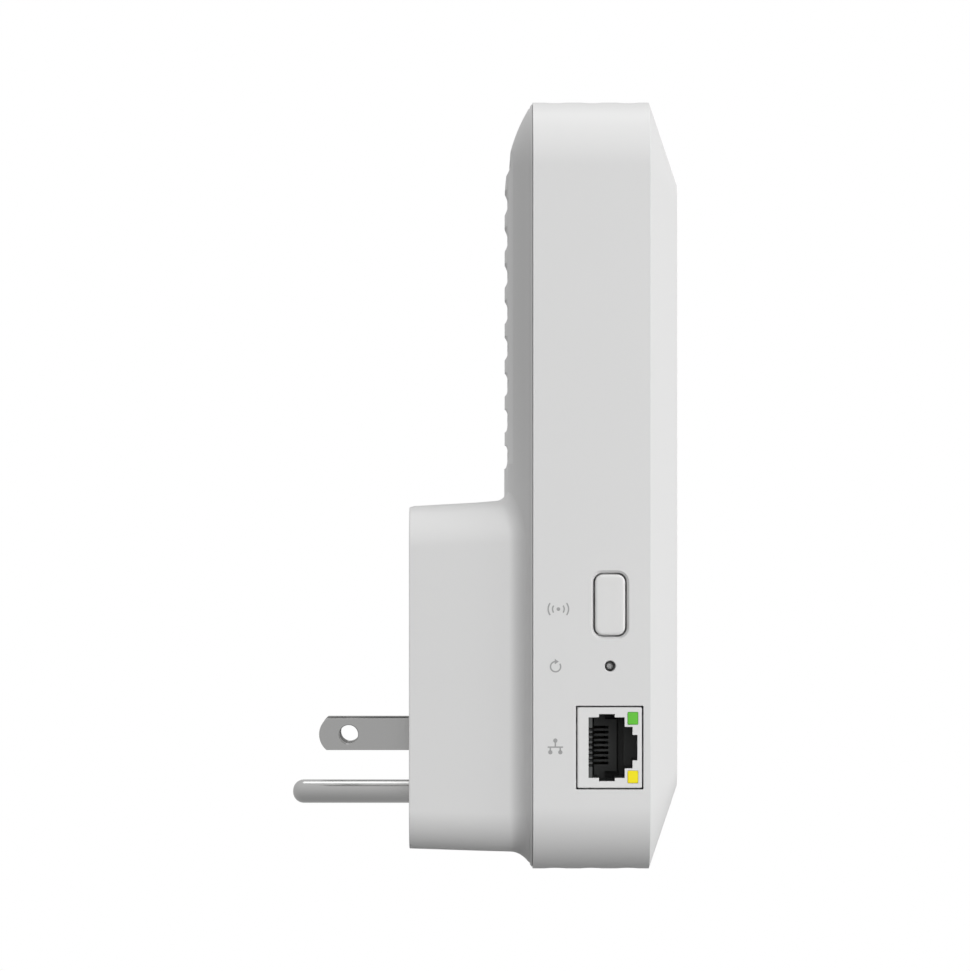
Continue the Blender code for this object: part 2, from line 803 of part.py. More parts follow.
def ground_pin():
    """A round earth pin with a domed end, longer than the blades."""
    tip = -PIN_LENGTH
    profile = [(PRONG_TAIL, PIN_RADIUS - 0.4), (PRONG_TAIL - 0.5, PIN_RADIUS)]
    for step in range(6):
        angle = math.pi / 2 * step / 6
        profile.append(
            (tip + PIN_RADIUS * (1 - math.sin(angle)) * 0.9, PIN_RADIUS * math.cos(angle))
        )
    bm = turned(bmesh.new(), "depth", (0.0, -PIN_DROP), profile, steps=20)
    return solid("ground_pin", bm, "prong_metal")


# ---------------------------------------------------------------- button and switches


def pairing_button():
    """The cap, its captive flange and the stem that reaches the switch."""
    centre = (CONTROL_DEPTH, BUTTON_Z)
    outside = -BODY_WIDTH / 2 - BUTTON_PROUD
    flange = -BODY_WIDTH / 2 + WALL + 0.1
    half_width, half_height = BUTTON_WIDTH / 2, BUTTON_HEIGHT / 2
    stations = (
        (outside, -0.35),
        (outside + 0.1, -0.12),
        (outside + 0.35, 0.0),
        (flange, 0.0),
        (flange, 0.8),
        (flange + 0.7, 0.8),
    )
    rings = [
        [
            (x, a, b)
            for a, b in rounded_rectangle(
                half_width + grow, half_height + grow, BUTTON_CORNER + grow, 4, centre
            )
        ]
        for x, grow in stations
    ]
    origin = (-BODY_WIDTH / 2, *centre)
    cap = solid("pairing_button", loft(bmesh.new(), rings), "button_plastic", origin)
    stem = bmesh.new()
    half = 1.3
    block(
        stem,
        (flange + 0.4, SWITCH_TIP - PLUNGER_GAP),
        (centre[0] - half, centre[0] + half),
        (centre[1] - half, centre[1] + half),
    )
    add(cap, stem, "stem")
    return cap


def tact_switch(name, z):
    """The fixed body of a right-angle tactile switch, with a bore for its plunger."""
    bm = block(
        bmesh.new(),
        (SWITCH_FACE, SWITCH_BACK),
        (ON_MAIN_BOARD, CONTROL_DEPTH + SWITCH_HALF + 0.3),
        (z - SWITCH_HALF, z + SWITCH_HALF),
    )
    switch = solid(name, bm, "component_plastic")
    bore = bmesh.new()
    profile = ((SWITCH_FACE - 1.0, PLUNGER_BORE), (PLUNGER_ROOT + 0.8, PLUNGER_BORE))
    turned(bore, "x", (CONTROL_DEPTH, z), profile, steps=14)
    cut(switch, bore, "bore")
    return switch


def plunger(name, z, tip):
    """The moving stem of a tactile switch, slightly domed at its tip."""
    profile = (
        (tip, PLUNGER_RADIUS * 0.45),
        (tip + 0.12, PLUNGER_RADIUS * 0.8),
        (tip + 0.35, PLUNGER_RADIUS),
        (PLUNGER_ROOT, PLUNGER_RADIUS),
    )
    bm = turned(bmesh.new(), "x", (CONTROL_DEPTH, z), profile, steps=14)
    return solid(name, bm, "ferrite", (PLUNGER_ROOT, CONTROL_DEPTH, z))


# ---------------------------------------------------------------- cable socket


def port_outline(grow=0.0):
    """The stepped mouth of the socket, as (depth, z) pairs: wide for the plug, then its latch."""
    floor, ceiling = PORT_FLOOR - grow, PORT_CEILING + grow
    half = PORT_HEIGHT / 2 + grow
    side_notch = half + 0.64
    notch_from, notch_to = CONTROL_DEPTH - 2.1 - grow, CONTROL_DEPTH + 1.0 + grow
    latch_half, latch_depth = 4.08 + grow, CONTROL_DEPTH + 4.5 + grow
    key_half, key_depth = 2.5 + grow, CONTROL_DEPTH + 5.45 + grow
    upper = [
        (floor, half),
        (notch_from, half),
        (notch_from, side_notch),
        (notch_to, side_notch),
        (notch_to, half),
        (ceiling, half),
        (ceiling, latch_half),
        (latch_depth, latch_half),
        (latch_depth, key_half),
        (key_depth, key_half),
    ]
    lower = [(depth, -z) for depth, z in reversed(upper)]
    return [(depth, SOCKET_Z + z) for depth, z in upper + lower]


def lamp_window(side):
    """Limits in depth and z of one indicator window in the socket's face."""
    middle = SOCKET_Z + side * LAMP_OFF_CENTRE
    return LAMP_DEPTHS, (middle - LAMP_HALF, middle + LAMP_HALF)


def contact_zs():
    middle = (CONTACT_COUNT - 1) / 2
    return [SOCKET_Z + (i - middle) * CONTACT_PITCH for i in range(CONTACT_COUNT)]


def socket_shield():
    """Folded metal screen: a face with the port in it and four sides, open at the back."""
    half_width, half_height = SOCKET_WIDTH / 2, SOCKET_HEIGHT / 2
    depth = (CONTROL_DEPTH - half_width, CONTROL_DEPTH + half_width)
    height = (SOCKET_Z - half_height, SOCKET_Z + half_height)
    bm = block(bmesh.new(), (SOCKET_X, SOCKET_X + SOCKET_LENGTH), depth, height)
    shield = solid("socket_shield", bm, "socket_metal")
    hollow = bmesh.new()
    block(
        hollow,
        (SOCKET_X + SHIELD, SOCKET_X + SOCKET_LENGTH + 1),
        (depth[0] + SHIELD, depth[1] - SHIELD),
        (height[0] + SHIELD, height[1] - SHIELD),
    )
    cut(shield, hollow, "hollow")
    windows = bmesh.new()
    extrude(windows, port_outline(), "x", SOCKET_X - 1, SOCKET_X + 2)
    for side in (1, -1):
        lamp_depth, lamp_z = lamp_window(side)
        block(windows, (SOCKET_X - 1, SOCKET_X + 2), lamp_depth, lamp_z)
    cut(shield, windows, "windows")
    return shield


def socket_insert():
    """Moulded insert: the port, the comb that guides the contacts and the lamp tunnels."""
    clear = SHIELD + 0.1
    half_width, half_height = SOCKET_WIDTH / 2 - clear, SOCKET_HEIGHT / 2 - clear
    front = SOCKET_X + clear
    bm = block(
        bmesh.new(),
        (front, SOCKET_X + SOCKET_LENGTH - 0.4),
        (CONTROL_DEPTH - half_width, CONTROL_DEPTH + half_width),
        (SOCKET_Z - half_height, SOCKET_Z + half_height),
    )
    insert = solid("socket_insert", bm, "socket_plastic")
    comb_from = SOCKET_X + PORT_DEEP - 2.4
    port = bmesh.new()
    extrude(port, port_outline(0.03), "x", SOCKET_X - 1, comb_from)
    cut(insert, port, "port")
    deep = bmesh.new()  # beyond the comb's face the port goes on above the comb only
    half = PORT_HEIGHT / 2 - 0.05
    block(
        deep,
        (comb_from - 0.5, SOCKET_X + PORT_DEEP),
        (COMB_TOP, PORT_CEILING),
        (SOCKET_Z - half, SOCKET_Z + half),
    )
    cut(insert, deep, "deep_port")
    channel = bmesh.new()  # room under the floor for the contacts to bend
    contact_half = CONTACT_PITCH * CONTACT_COUNT / 2
    block(
        channel,
        (SOCKET_X + 1.8, comb_from + 0.01),
        (PORT_FLOOR - 1.4, PORT_FLOOR + 0.5),
        (SOCKET_Z - contact_half, SOCKET_Z + contact_half),
    )
    cut(insert, channel, "channel")
    slots = bmesh.new()
    for z in contact_zs():
        block(
            slots,
            (comb_from - 0.5, SOCKET_X + PORT_DEEP + 1.2),
            (PORT_FLOOR - 0.95, COMB_TOP + 0.3),
            (z - COMB_SLOT / 2, z + COMB_SLOT / 2),
        )
    cut(insert, slots, "comb_slots")
    tunnels = bmesh.new()
    for side in (1, -1):
        lamp_depth, lamp_z = lamp_window(side)
        block(tunnels, (SOCKET_X - 1, SOCKET_X + 9.0), lamp_depth, lamp_z)
    cut(insert, tunnels, "lamp_tunnels")
    return insert


def socket_contact(index, z):
    """One spring contact: it bends back at the mouth and slopes up into the comb."""
    rise = CONTACT_TIP_DEPTH - CONTACT_PIVOT_DEPTH
    run = CONTACT_TIP_IN - CONTACT_PIVOT_IN
    slope = math.atan2(rise, run)
    half = CONTACT_SIZE / 2
    across = Vector((-math.sin(slope), math.cos(slope))) * half
    start = Vector((CONTACT_PIVOT_IN, CONTACT_PIVOT_DEPTH))
    end = Vector((CONTACT_TIP_IN, CONTACT_TIP_DEPTH))
    near = [start + across]
    for step in range(1, 4):  # the rounded bend
        turn = slope + math.pi / 2 + math.pi * step / 4
        near.append(start + Vector((math.cos(turn), math.sin(turn))) * half)
    outline = [*near, start - across, end - across, end + across]
    bm = bmesh.new()
    rings = [
        [(SOCKET_X + into, depth, side) for into, depth in outline]
        for side in (z - half, z + half)
    ]
    loft(bm, rings)
    origin = (SOCKET_X + CONTACT_PIVOT_IN, CONTACT_PIVOT_DEPTH, z)
    return solid(f"socket_contact_{index}", bm, "contact_metal", origin)


def socket_lamp(name, side, look):
    """A small light guide that shows in one corner of the socket's face."""
    (depth_from, depth_to), (z_from, z_to) = lamp_window(side)
    bm = block(
        bmesh.new(),
        (SOCKET_X + 0.05, SOCKET_X + LAMP_LENGTH),
        (depth_from + LAMP_GAP, depth_to - LAMP_GAP),
        (z_from + LAMP_GAP, z_to - LAMP_GAP),
    )
    return solid(name, bm, look)


# ---------------------------------------------------------------- boards and what they carry


def main_board():
    """Logic board with a notch that the socket sinks into, and holes for its screws."""
    height = (MAIN_BOARD_TOP - MAIN_BOARD_BOTTOM) / 2
    middle = (0.0, (MAIN_BOARD_TOP + MAIN_BOARD_BOTTOM) / 2)
    outline = rounded_rectangle(MAIN_BOARD_HALF_WIDTH, height, 9.0, 4, middle)
    rear = MAIN_BOARD_FRONT - BOARD_THICKNESS
    bm = extrude(bmesh.new(), outline, "depth", rear, MAIN_BOARD_FRONT)
    board = solid("main_board", bm, "board_laminate")
    openings = bmesh.new()
    notch_half = SOCKET_HEIGHT / 2 + 0.4
    block(
        openings,
        (-MAIN_BOARD_HALF_WIDTH - 2, SOCKET_X + SOCKET_LENGTH + 0.4),
        (rear - 1, MAIN_BOARD_FRONT + 1),
        (SOCKET_Z - notch_half, SOCKET_Z + notch_half),
    )
    hole = SCREW_RADIUS + 0.25
    for x, z in BOSS_PLACES:
        limits = ((rear - 1, hole), (MAIN_BOARD_FRONT + 1, hole))
        turned(openings, "depth", (x, z), limits, steps=10)
    cut(board, openings, "openings")
    return board


def board_screw(name, x, z):
    """A pan-head screw with a cross recess, which goes through the board into its boss."""
    head = MAIN_BOARD_FRONT - BOARD_THICKNESS - 0.05
    profile = (
        (head - SCREW_HEAD_HEIGHT, SCREW_HEAD_RADIUS - 0.8),
        (head - SCREW_HEAD_HEIGHT + 0.4, SCREW_HEAD_RADIUS - 0.1),
        (head, SCREW_HEAD_RADIUS),
        (head, SCREW_RADIUS),
        (head + SCREW_LENGTH - 0.8, SCREW_RADIUS),
        (head + SCREW_LENGTH, 0.4),
    )
    screw = solid(name, turned(bmesh.new(), "depth", (x, z), profile, steps=12), "tinned_steel")
    depths = (head - 2 * SCREW_HEAD_HEIGHT, head - SCREW_HEAD_HEIGHT / 2)
    long, short = SCREW_RECESS[0] / 2, SCREW_RECESS[1] / 2
    for word, half_x, half_z in (("level", long, short), ("upright", short, long)):
        bar = block(bmesh.new(), (x - half_x, x + half_x), depths, (z - half_z, z + half_z))
        cut(screw, bar, f"recess_{word}")
    return screw


def light_pipe():
    """Four light guides moulded on one bar behind the front."""
    half_width, beyond = 1.7, 2.5
    bm = block(
        bmesh.new(),
        (-half_width, half_width),
        LIGHT_BAR,
        (INDICATOR_PLACES[0] - beyond, INDICATOR_PLACES[-1] + beyond),
    )
    pipe = solid("light_pipe", bm, "clear_plastic")
    rods = bmesh.new()
    for z in INDICATOR_PLACES:
        profile = (
            (MAIN_BOARD_FRONT + 1.1, INDICATOR_RADIUS + 0.3),
            (LIGHT_BAR[0] + 0.4, INDICATOR_RADIUS),
            (FRONT_PLANE - 0.1, INDICATOR_RADIUS),
        )
        turned(rods, "depth", (0.0, z), profile, steps=10)
    add(pipe, rods, "rods")
    return pipe


def shield_can(name, x, z, height):
    """A drawn metal can over a group of chips, with a folded lid edge."""
    top, fold = ON_MAIN_BOARD + height, 0.4
    rings = []
    for depth, inset in ((ON_MAIN_BOARD, 0.0), (top - fold, 0.0), (top, fold)):
        half_x, half_z = (x[1] - x[0]) / 2 - inset, (z[1] - z[0]) / 2 - inset
        centre = ((x[0] + x[1]) / 2, (z[0] + z[1]) / 2)
        outline = rounded_rectangle(half_x, half_z, 1.0, 2, centre)
        rings.append([(a, depth, b) for a, b in outline])
    return solid(name, loft(bmesh.new(), rings), "tinned_steel")


def heatsink():
    """Extruded aluminium plate with upright fins over the processor can."""
    fins = 8
    pitch = 2 * HEATSINK_HALF_WIDTH / fins
    fin_width = pitch * 0.35
    valley = HEATSINK_BASE + 1.8
    outline = [(-HEATSINK_HALF_WIDTH, HEATSINK_BASE), (HEATSINK_HALF_WIDTH, HEATSINK_BASE)]
    for fin in range(fins):
        right = HEATSINK_HALF_WIDTH - fin * pitch
        left = right - fin_width
        outline += [(right, HEATSINK_TIP), (left, HEATSINK_TIP)]
        if fin < fins - 1:
            outline += [(left, valley), (right - pitch, valley)]
    outline[-1] = (-HEATSINK_HALF_WIDTH, HEATSINK_TIP)
    bm = extrude(bmesh.new(), outline, "z", *HEATSINK_ENDS)
    return solid("heatsink", bm, "aluminium")


def simple_parts():
    """Square parts: (name, look, x limits, depth limits, z limits)."""
    top, rear = ON_MAIN_BOARD, ON_POWER_BOARD
    return (
        ("thermal_pad", "thermal_pad", (-17.0, 17.0), (38.75, 39.2), (64.0, 96.0)),
        ("ethernet_magnetics", "component_plastic", (-19.5, -8.5), (top, top + 4.2), (-8.0, 5.0)),
        ("flash_chip", "component_plastic", (8.0, 16.0), (top, top + 1.2), (46.0, 52.0)),
        ("memory_chip", "component_plastic", (14.0, 24.0), (top, top + 1.1), (30.0, 42.0)),
        ("dc_header", "component_plastic", (16.0, 26.0), (24.9, 35.2), (6.0, 12.0)),
        ("rectifier_bridge", "component_plastic", (-30.0, -22.0), (rear - 2.8, rear), (-14.0, -7.0)),
        ("line_filter_capacitor", "winding_tape", (-31.0, -18.0), (rear - 11.0, rear), (0.0, 6.0)),
    )


def can_part(name, x, z, radius, height):
    """An electrolytic capacitor on the power board, with a crimped neck."""
    foot, crimp = ON_POWER_BOARD, 0.45
    profile = (
        (foot, radius - crimp),
        (foot - 0.6, radius),
        (foot - 1.6, radius),
        (foot - 2.0, radius - crimp),
        (foot - 2.4, radius),
        (foot - height + crimp, radius),
        (foot - height, radius - crimp),
    )
    bm = turned(bmesh.new(), "depth", (x, z), profile, steps=14)
    return solid(name, bm, "capacitor_sleeve")


def transformer_core():
    """Ferrite core: two plates, two outer legs and the round leg through the winding."""
    x, z = TRANSFORMER
    bm = block(bmesh.new(), (x - 11.0, x + 11.0), CORE_DEPTHS, (z - 4.0, z + 4.0))
    core = solid("transformer_core", bm, "ferrite")
    window = block(bmesh.new(), (x - 8.4, x + 8.4), CORE_WINDOW, (z - 6.0, z + 6.0))
    cut(core, window, "window")
    profile = tuple((depth, LEG_RADIUS) for depth in LEG_DEPTHS)
    add(core, turned(bmesh.new(), "depth", (x, z), profile, steps=12), "leg")
    return core


def transformer_winding():
    """Taped winding on its bobbin, round the core's middle leg."""
    start, end = CORE_WINDOW[0] + 0.3, CORE_WINDOW[1] - 0.3
    flange = 0.8
    profile = (
        (start, FLANGE_RADIUS),
        (start + flange, FLANGE_RADIUS),
        (start + flange, WINDING_RADIUS),
        (end - flange, WINDING_RADIUS),
        (end - flange, FLANGE_RADIUS),
        (end, FLANGE_RADIUS),
    )
    bm = turned(bmesh.new(), "depth", TRANSFORMER, profile, steps=18)
    winding = solid("transformer_winding", bm, "winding_tape")
    bore = tuple((depth, LEG_RADIUS + 0.3) for depth in LEG_DEPTHS)
    cut(winding, turned(bmesh.new(), "depth", TRANSFORMER, bore, steps=14), "bore")
    return winding


def choke():
    """A drum-wound line choke."""
    foot, height, flange = ON_POWER_BOARD, 9.9, 1.1
    drum_radius, wound_radius = 4.6, 3.9
    profile = (
        (foot, drum_radius),
        (foot - flange, drum_radius),
        (foot - flange, wound_radius),
        (foot - height + flange, wound_radius),
        (foot - height + flange, drum_radius),
        (foot - height, drum_radius),
    )
    bm = turned(bmesh.new(), "depth", (-26.0, 36.0), profile, steps=14)
    return solid("line_choke", bm, "ferrite")


def fuse():
    """A cartridge fuse lying on the power board, with its two end caps."""
    start, end, cap = 14.0, 27.0, 1.6
    cap_radius, glass_radius = 1.9, 1.6
    profile = (
        (start, cap_radius),
        (start + cap, cap_radius),
        (start + cap, glass_radius),
        (end - cap, glass_radius),
        (end - cap, cap_radius),
        (end, cap_radius),
    )
    centre = (POWER_BOARD_REAR - 2.2, -14.0)
    return solid("fuse", turned(bmesh.new(), "x", centre, profile, steps=12), "tinned_steel")


def power_board():
    outline = rounded_rectangle(32.0, 30.0, 4.0, 3, (0.0, 12.5))
    end = POWER_BOARD_REAR + POWER_BOARD_THICKNESS
    bm = extrude(bmesh.new(), outline, "depth", POWER_BOARD_REAR, end)
    return solid("power_board", bm, "board_laminate")


def insulation_sheet():
    """Film between the two boards, with a window for the header."""
    outline = rounded_rectangle(33.0, 32.0, 3.0, 3, (0.0, 14.0))
    bm = extrude(bmesh.new(), outline, "depth", 30.2, 30.6)
    sheet = solid("insulation_sheet", bm, "insulation_film")
    window = block(bmesh.new(), (15.5, 26.5), (29.0, 32.0), (5.5, 12.5))
    cut(sheet, window, "window")
    return sheet


def lead(name, points, radius):
    """An insulated lead held at both ends, along one smooth curve."""
    route = smooth_route([place(*point) for point in points], steps_per_span=3)
    curve = bpy.data.curves.new(name, "CURVE")
    curve.dimensions = "3D"
    curve.bevel_depth = radius * MM
    curve.bevel_resolution = 1
    curve.use_fill_caps = True
    spline = curve.splines.new("POLY")
    spline.points.add(len(route) - 1)
    for target, point in zip(spline.points, route):
        target.co = (*point, 1.0)
    curve.materials.append(material("wire_sleeve"))
    obj = bpy.data.objects.new(name, curve)
    bpy.context.scene.collection.objects.link(obj)
    return obj


def antenna(name, corner, along, across, normal_limits):
    """A stamped inverted-F antenna: a long arm with a short leg and a feed tab.

    The outline lies in the plane of along and across, each a (axis letter, sign) pair.
    """
    length, width, leg = 30.0, 2.2, 6.0
    outline = [
        (0.0, 0.0),
        (length, 0.0),
        (length, width),
        (9.0, width),
        (9.0, leg),
        (7.0, leg),
        (7.0, width),
        (2.0, width),
        (2.0, leg),
        (0.0, leg),
    ]
    index = {"x": 0, "depth": 1, "z": 2}
    normal = ({"x", "depth", "z"} - {along[0], across[0]}).pop()
    rings = []
    for level in normal_limits:
        ring = []
        for a, b in outline:
            point = list(corner)
            point[index[along[0]]] += along[1] * a
            point[index[across[0]]] += across[1] * b
            point[index[normal]] = level
            ring.append(tuple(point))
        rings.append(ring)
    return solid(name, loft(bmesh.new(), rings), "antenna_metal")


def antennas_and_leads():
    """Two antennas under the top wall and one inside each side wall, each with its lead."""
    top = ("z", 120.2, 120.8)
    antenna("antenna_top_left", (-4.0, 33.0, 0.0), ("x", -1), ("depth", 1), top[1:])
    antenna("antenna_top_right", (4.0, 33.0, 0.0), ("x", 1), ("depth", 1), top[1:])
    antenna("antenna_side_left", (0.0, 39.5, 64.0), ("z", 1), ("depth", 1), (-37.3, -36.7))
    antenna("antenna_side_right", (0.0, 39.5, 64.0), ("z", 1), ("depth", 1), (36.7, 37.3))
    for side, word in ((-1, "left"), (1, "right")):
        top_route = (
            (side * 12.0, 38.3, 119.3),
            (side * 12.5, 39.5, 116.5),
            (side * 15.5, 40.2, 112.0),
            (side * 16.0, 38.6, 108.0),
            (side * 15.5, 37.4, 105.5),
        )
        lead(f"antenna_lead_top_{word}", top_route, ANTENNA_LEAD_RADIUS)
        side_route = (
            (side * 36.0, 44.6, 72.0),
            (side * 34.0, 44.8, 70.0),
            (side * 28.5, 42.0, 67.5),
            (side * 25.0, 38.5, 68.0),
            (side * 24.0, 37.4, 69.5),
        )
        lead(f"antenna_lead_side_{word}", side_route, ANTENNA_LEAD_RADIUS)


def supply_leads():
    """The two mains leads from the blades' tails to the power board."""
    for side, word in ((-1, "neutral"), (1, "line")):
        route = (
            (side * BLADE_SPACING / 2, PRONG_TAIL + 0.4, 0.0),
            (side * BLADE_SPACING / 2, 10.0, -0.3),
            (side * 5.2, 14.0, -3.6),
            (side * 4.2, 18.6, -5.0),
            (side * 4.0, 23.0, -5.2),
        )
        lead(f"{word}_lead", route, LEAD_RADIUS)


def rating_label():
    """A blank foil label in a shallow recess of the block's end plate."""
    outline = rounded_rectangle(*LABEL_HALF, 1.5, 3, LABEL_CENTRE)
    bm = extrude(bmesh.new(), outline, "depth", LABEL_RECESS - 0.18, LABEL_RECESS - 0.05)
    return solid("rating_label", bm, "label_film")


# ---------------------------------------------------------------- assembly


def build():
    clear_scene()
    front_shell()
    rear_shell()
    plug_plate()
    rating_label()
    blade("neutral_blade", -1)
    blade("line_blade", 1)
    ground_pin()
    pairing_button()
    tact_switch("pairing_switch", BUTTON_Z)
    plunger("pairing_plunger", BUTTON_Z, SWITCH_TIP)
    tact_switch("reset_switch", RESET_Z)
    plunger("reset_plunger", RESET_Z, RESET_TIP)
    socket_shield()
    socket_insert()
    for index, z in enumerate(contact_zs(), start=1):
        socket_contact(index, z)
    socket_lamp("socket_lamp_green", 1, "green_lens")
    socket_lamp("socket_lamp_yellow", -1, "yellow_lens")
    light_pipe()
    main_board()
    for index, (x, z) in enumerate(BOSS_PLACES, start=1):
        board_screw(f"board_screw_{index}", x, z)
    shield_can("processor_can", (-20.0, 20.0), (60.0, 101.0), 2.0)
    shield_can("radio_can", (-30.0, -10.0), (36.0, 54.0), 1.8)
    heatsink()
    for name, look, x, depth, z in simple_parts():
        solid(name, block(bmesh.new(), x, depth, z), look)
    power_board()
    insulation_sheet()
    transformer_core()
    transformer_winding()
    can_part("bulk_capacitor_1", -13.0, 30.0, 5.0, 16.0)
    can_part("bulk_capacitor_2", -13.0, 18.0, 5.0, 16.0)
    can_part("output_capacitor", 26.0, -3.0, 4.0, 12.0)
    choke()
    fuse()
    antennas_and_leads()
    supply_leads()


build()
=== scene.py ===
"""Looks of a plug-in wireless range extender, built round its packed frame.

The moulded shells, the plug, the button and the cable socket are modelled here at full
smoothness, over the plainer solids that carry the motion. Sizes are in millimetres and are
turned into metres as each mesh is made. A place is (x, depth, z): x runs across the body,
depth runs from the wall plate out into the room, and z is height above the blades.
"""

from __future__ import annotations

import json
import logging
import math
from collections.abc import Sequence
from dataclasses import dataclass
from enum import Enum

import bmesh
import bpy
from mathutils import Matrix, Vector

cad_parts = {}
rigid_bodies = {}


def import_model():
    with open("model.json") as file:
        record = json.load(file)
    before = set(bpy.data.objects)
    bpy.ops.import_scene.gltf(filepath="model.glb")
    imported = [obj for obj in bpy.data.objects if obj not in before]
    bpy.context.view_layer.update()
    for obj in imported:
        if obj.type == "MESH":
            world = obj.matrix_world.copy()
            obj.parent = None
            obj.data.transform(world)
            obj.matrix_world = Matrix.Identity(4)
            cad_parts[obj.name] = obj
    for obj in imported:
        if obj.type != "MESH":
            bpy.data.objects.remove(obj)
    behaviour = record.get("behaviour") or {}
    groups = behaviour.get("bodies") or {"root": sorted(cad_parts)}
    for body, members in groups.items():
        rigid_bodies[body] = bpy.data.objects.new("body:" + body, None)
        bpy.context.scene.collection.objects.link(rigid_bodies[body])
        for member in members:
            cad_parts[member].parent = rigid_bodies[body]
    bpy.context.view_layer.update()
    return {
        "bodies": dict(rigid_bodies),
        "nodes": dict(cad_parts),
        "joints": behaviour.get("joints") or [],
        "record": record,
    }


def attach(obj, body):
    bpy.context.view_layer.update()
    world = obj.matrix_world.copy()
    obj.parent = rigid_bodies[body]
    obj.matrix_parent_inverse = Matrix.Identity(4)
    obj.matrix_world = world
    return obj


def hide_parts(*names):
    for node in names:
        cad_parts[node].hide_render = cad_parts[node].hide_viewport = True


LOG = logging.getLogger("range_extender")
MM = 0.001
SPREAD = 0.2  # metres between the loops of a loft while they are bridged
QUARTER = math.pi / 2
WHITE = (1.0, 1.0, 1.0, 1.0)
Place = tuple[float, float, float]
Pair = tuple[float, float]
Thing = bpy.types.Object


def at(x: float, depth: float, z: float) -> Vector:
    """Turns a place in millimetres into a point of the frame, in metres."""
    return Vector((x, -depth, z)) * MM


# ---------------------------------------------------------------- bench


class Facing(Enum):
    """The way a loop faces, as the turn that takes a flat primitive there."""

    ACROSS = (QUARTER, 0.0, QUARTER)
    DEEP = (QUARTER, 0.0, 0.0)
    UP = (0.0, 0.0, 0.0)

    def along(self, place: Place, distance: float) -> Place:
        """Moves a place along the way the loop faces."""
        moved = list(place)
        moved[list(Facing).index(self)] += distance
        return tuple(moved)


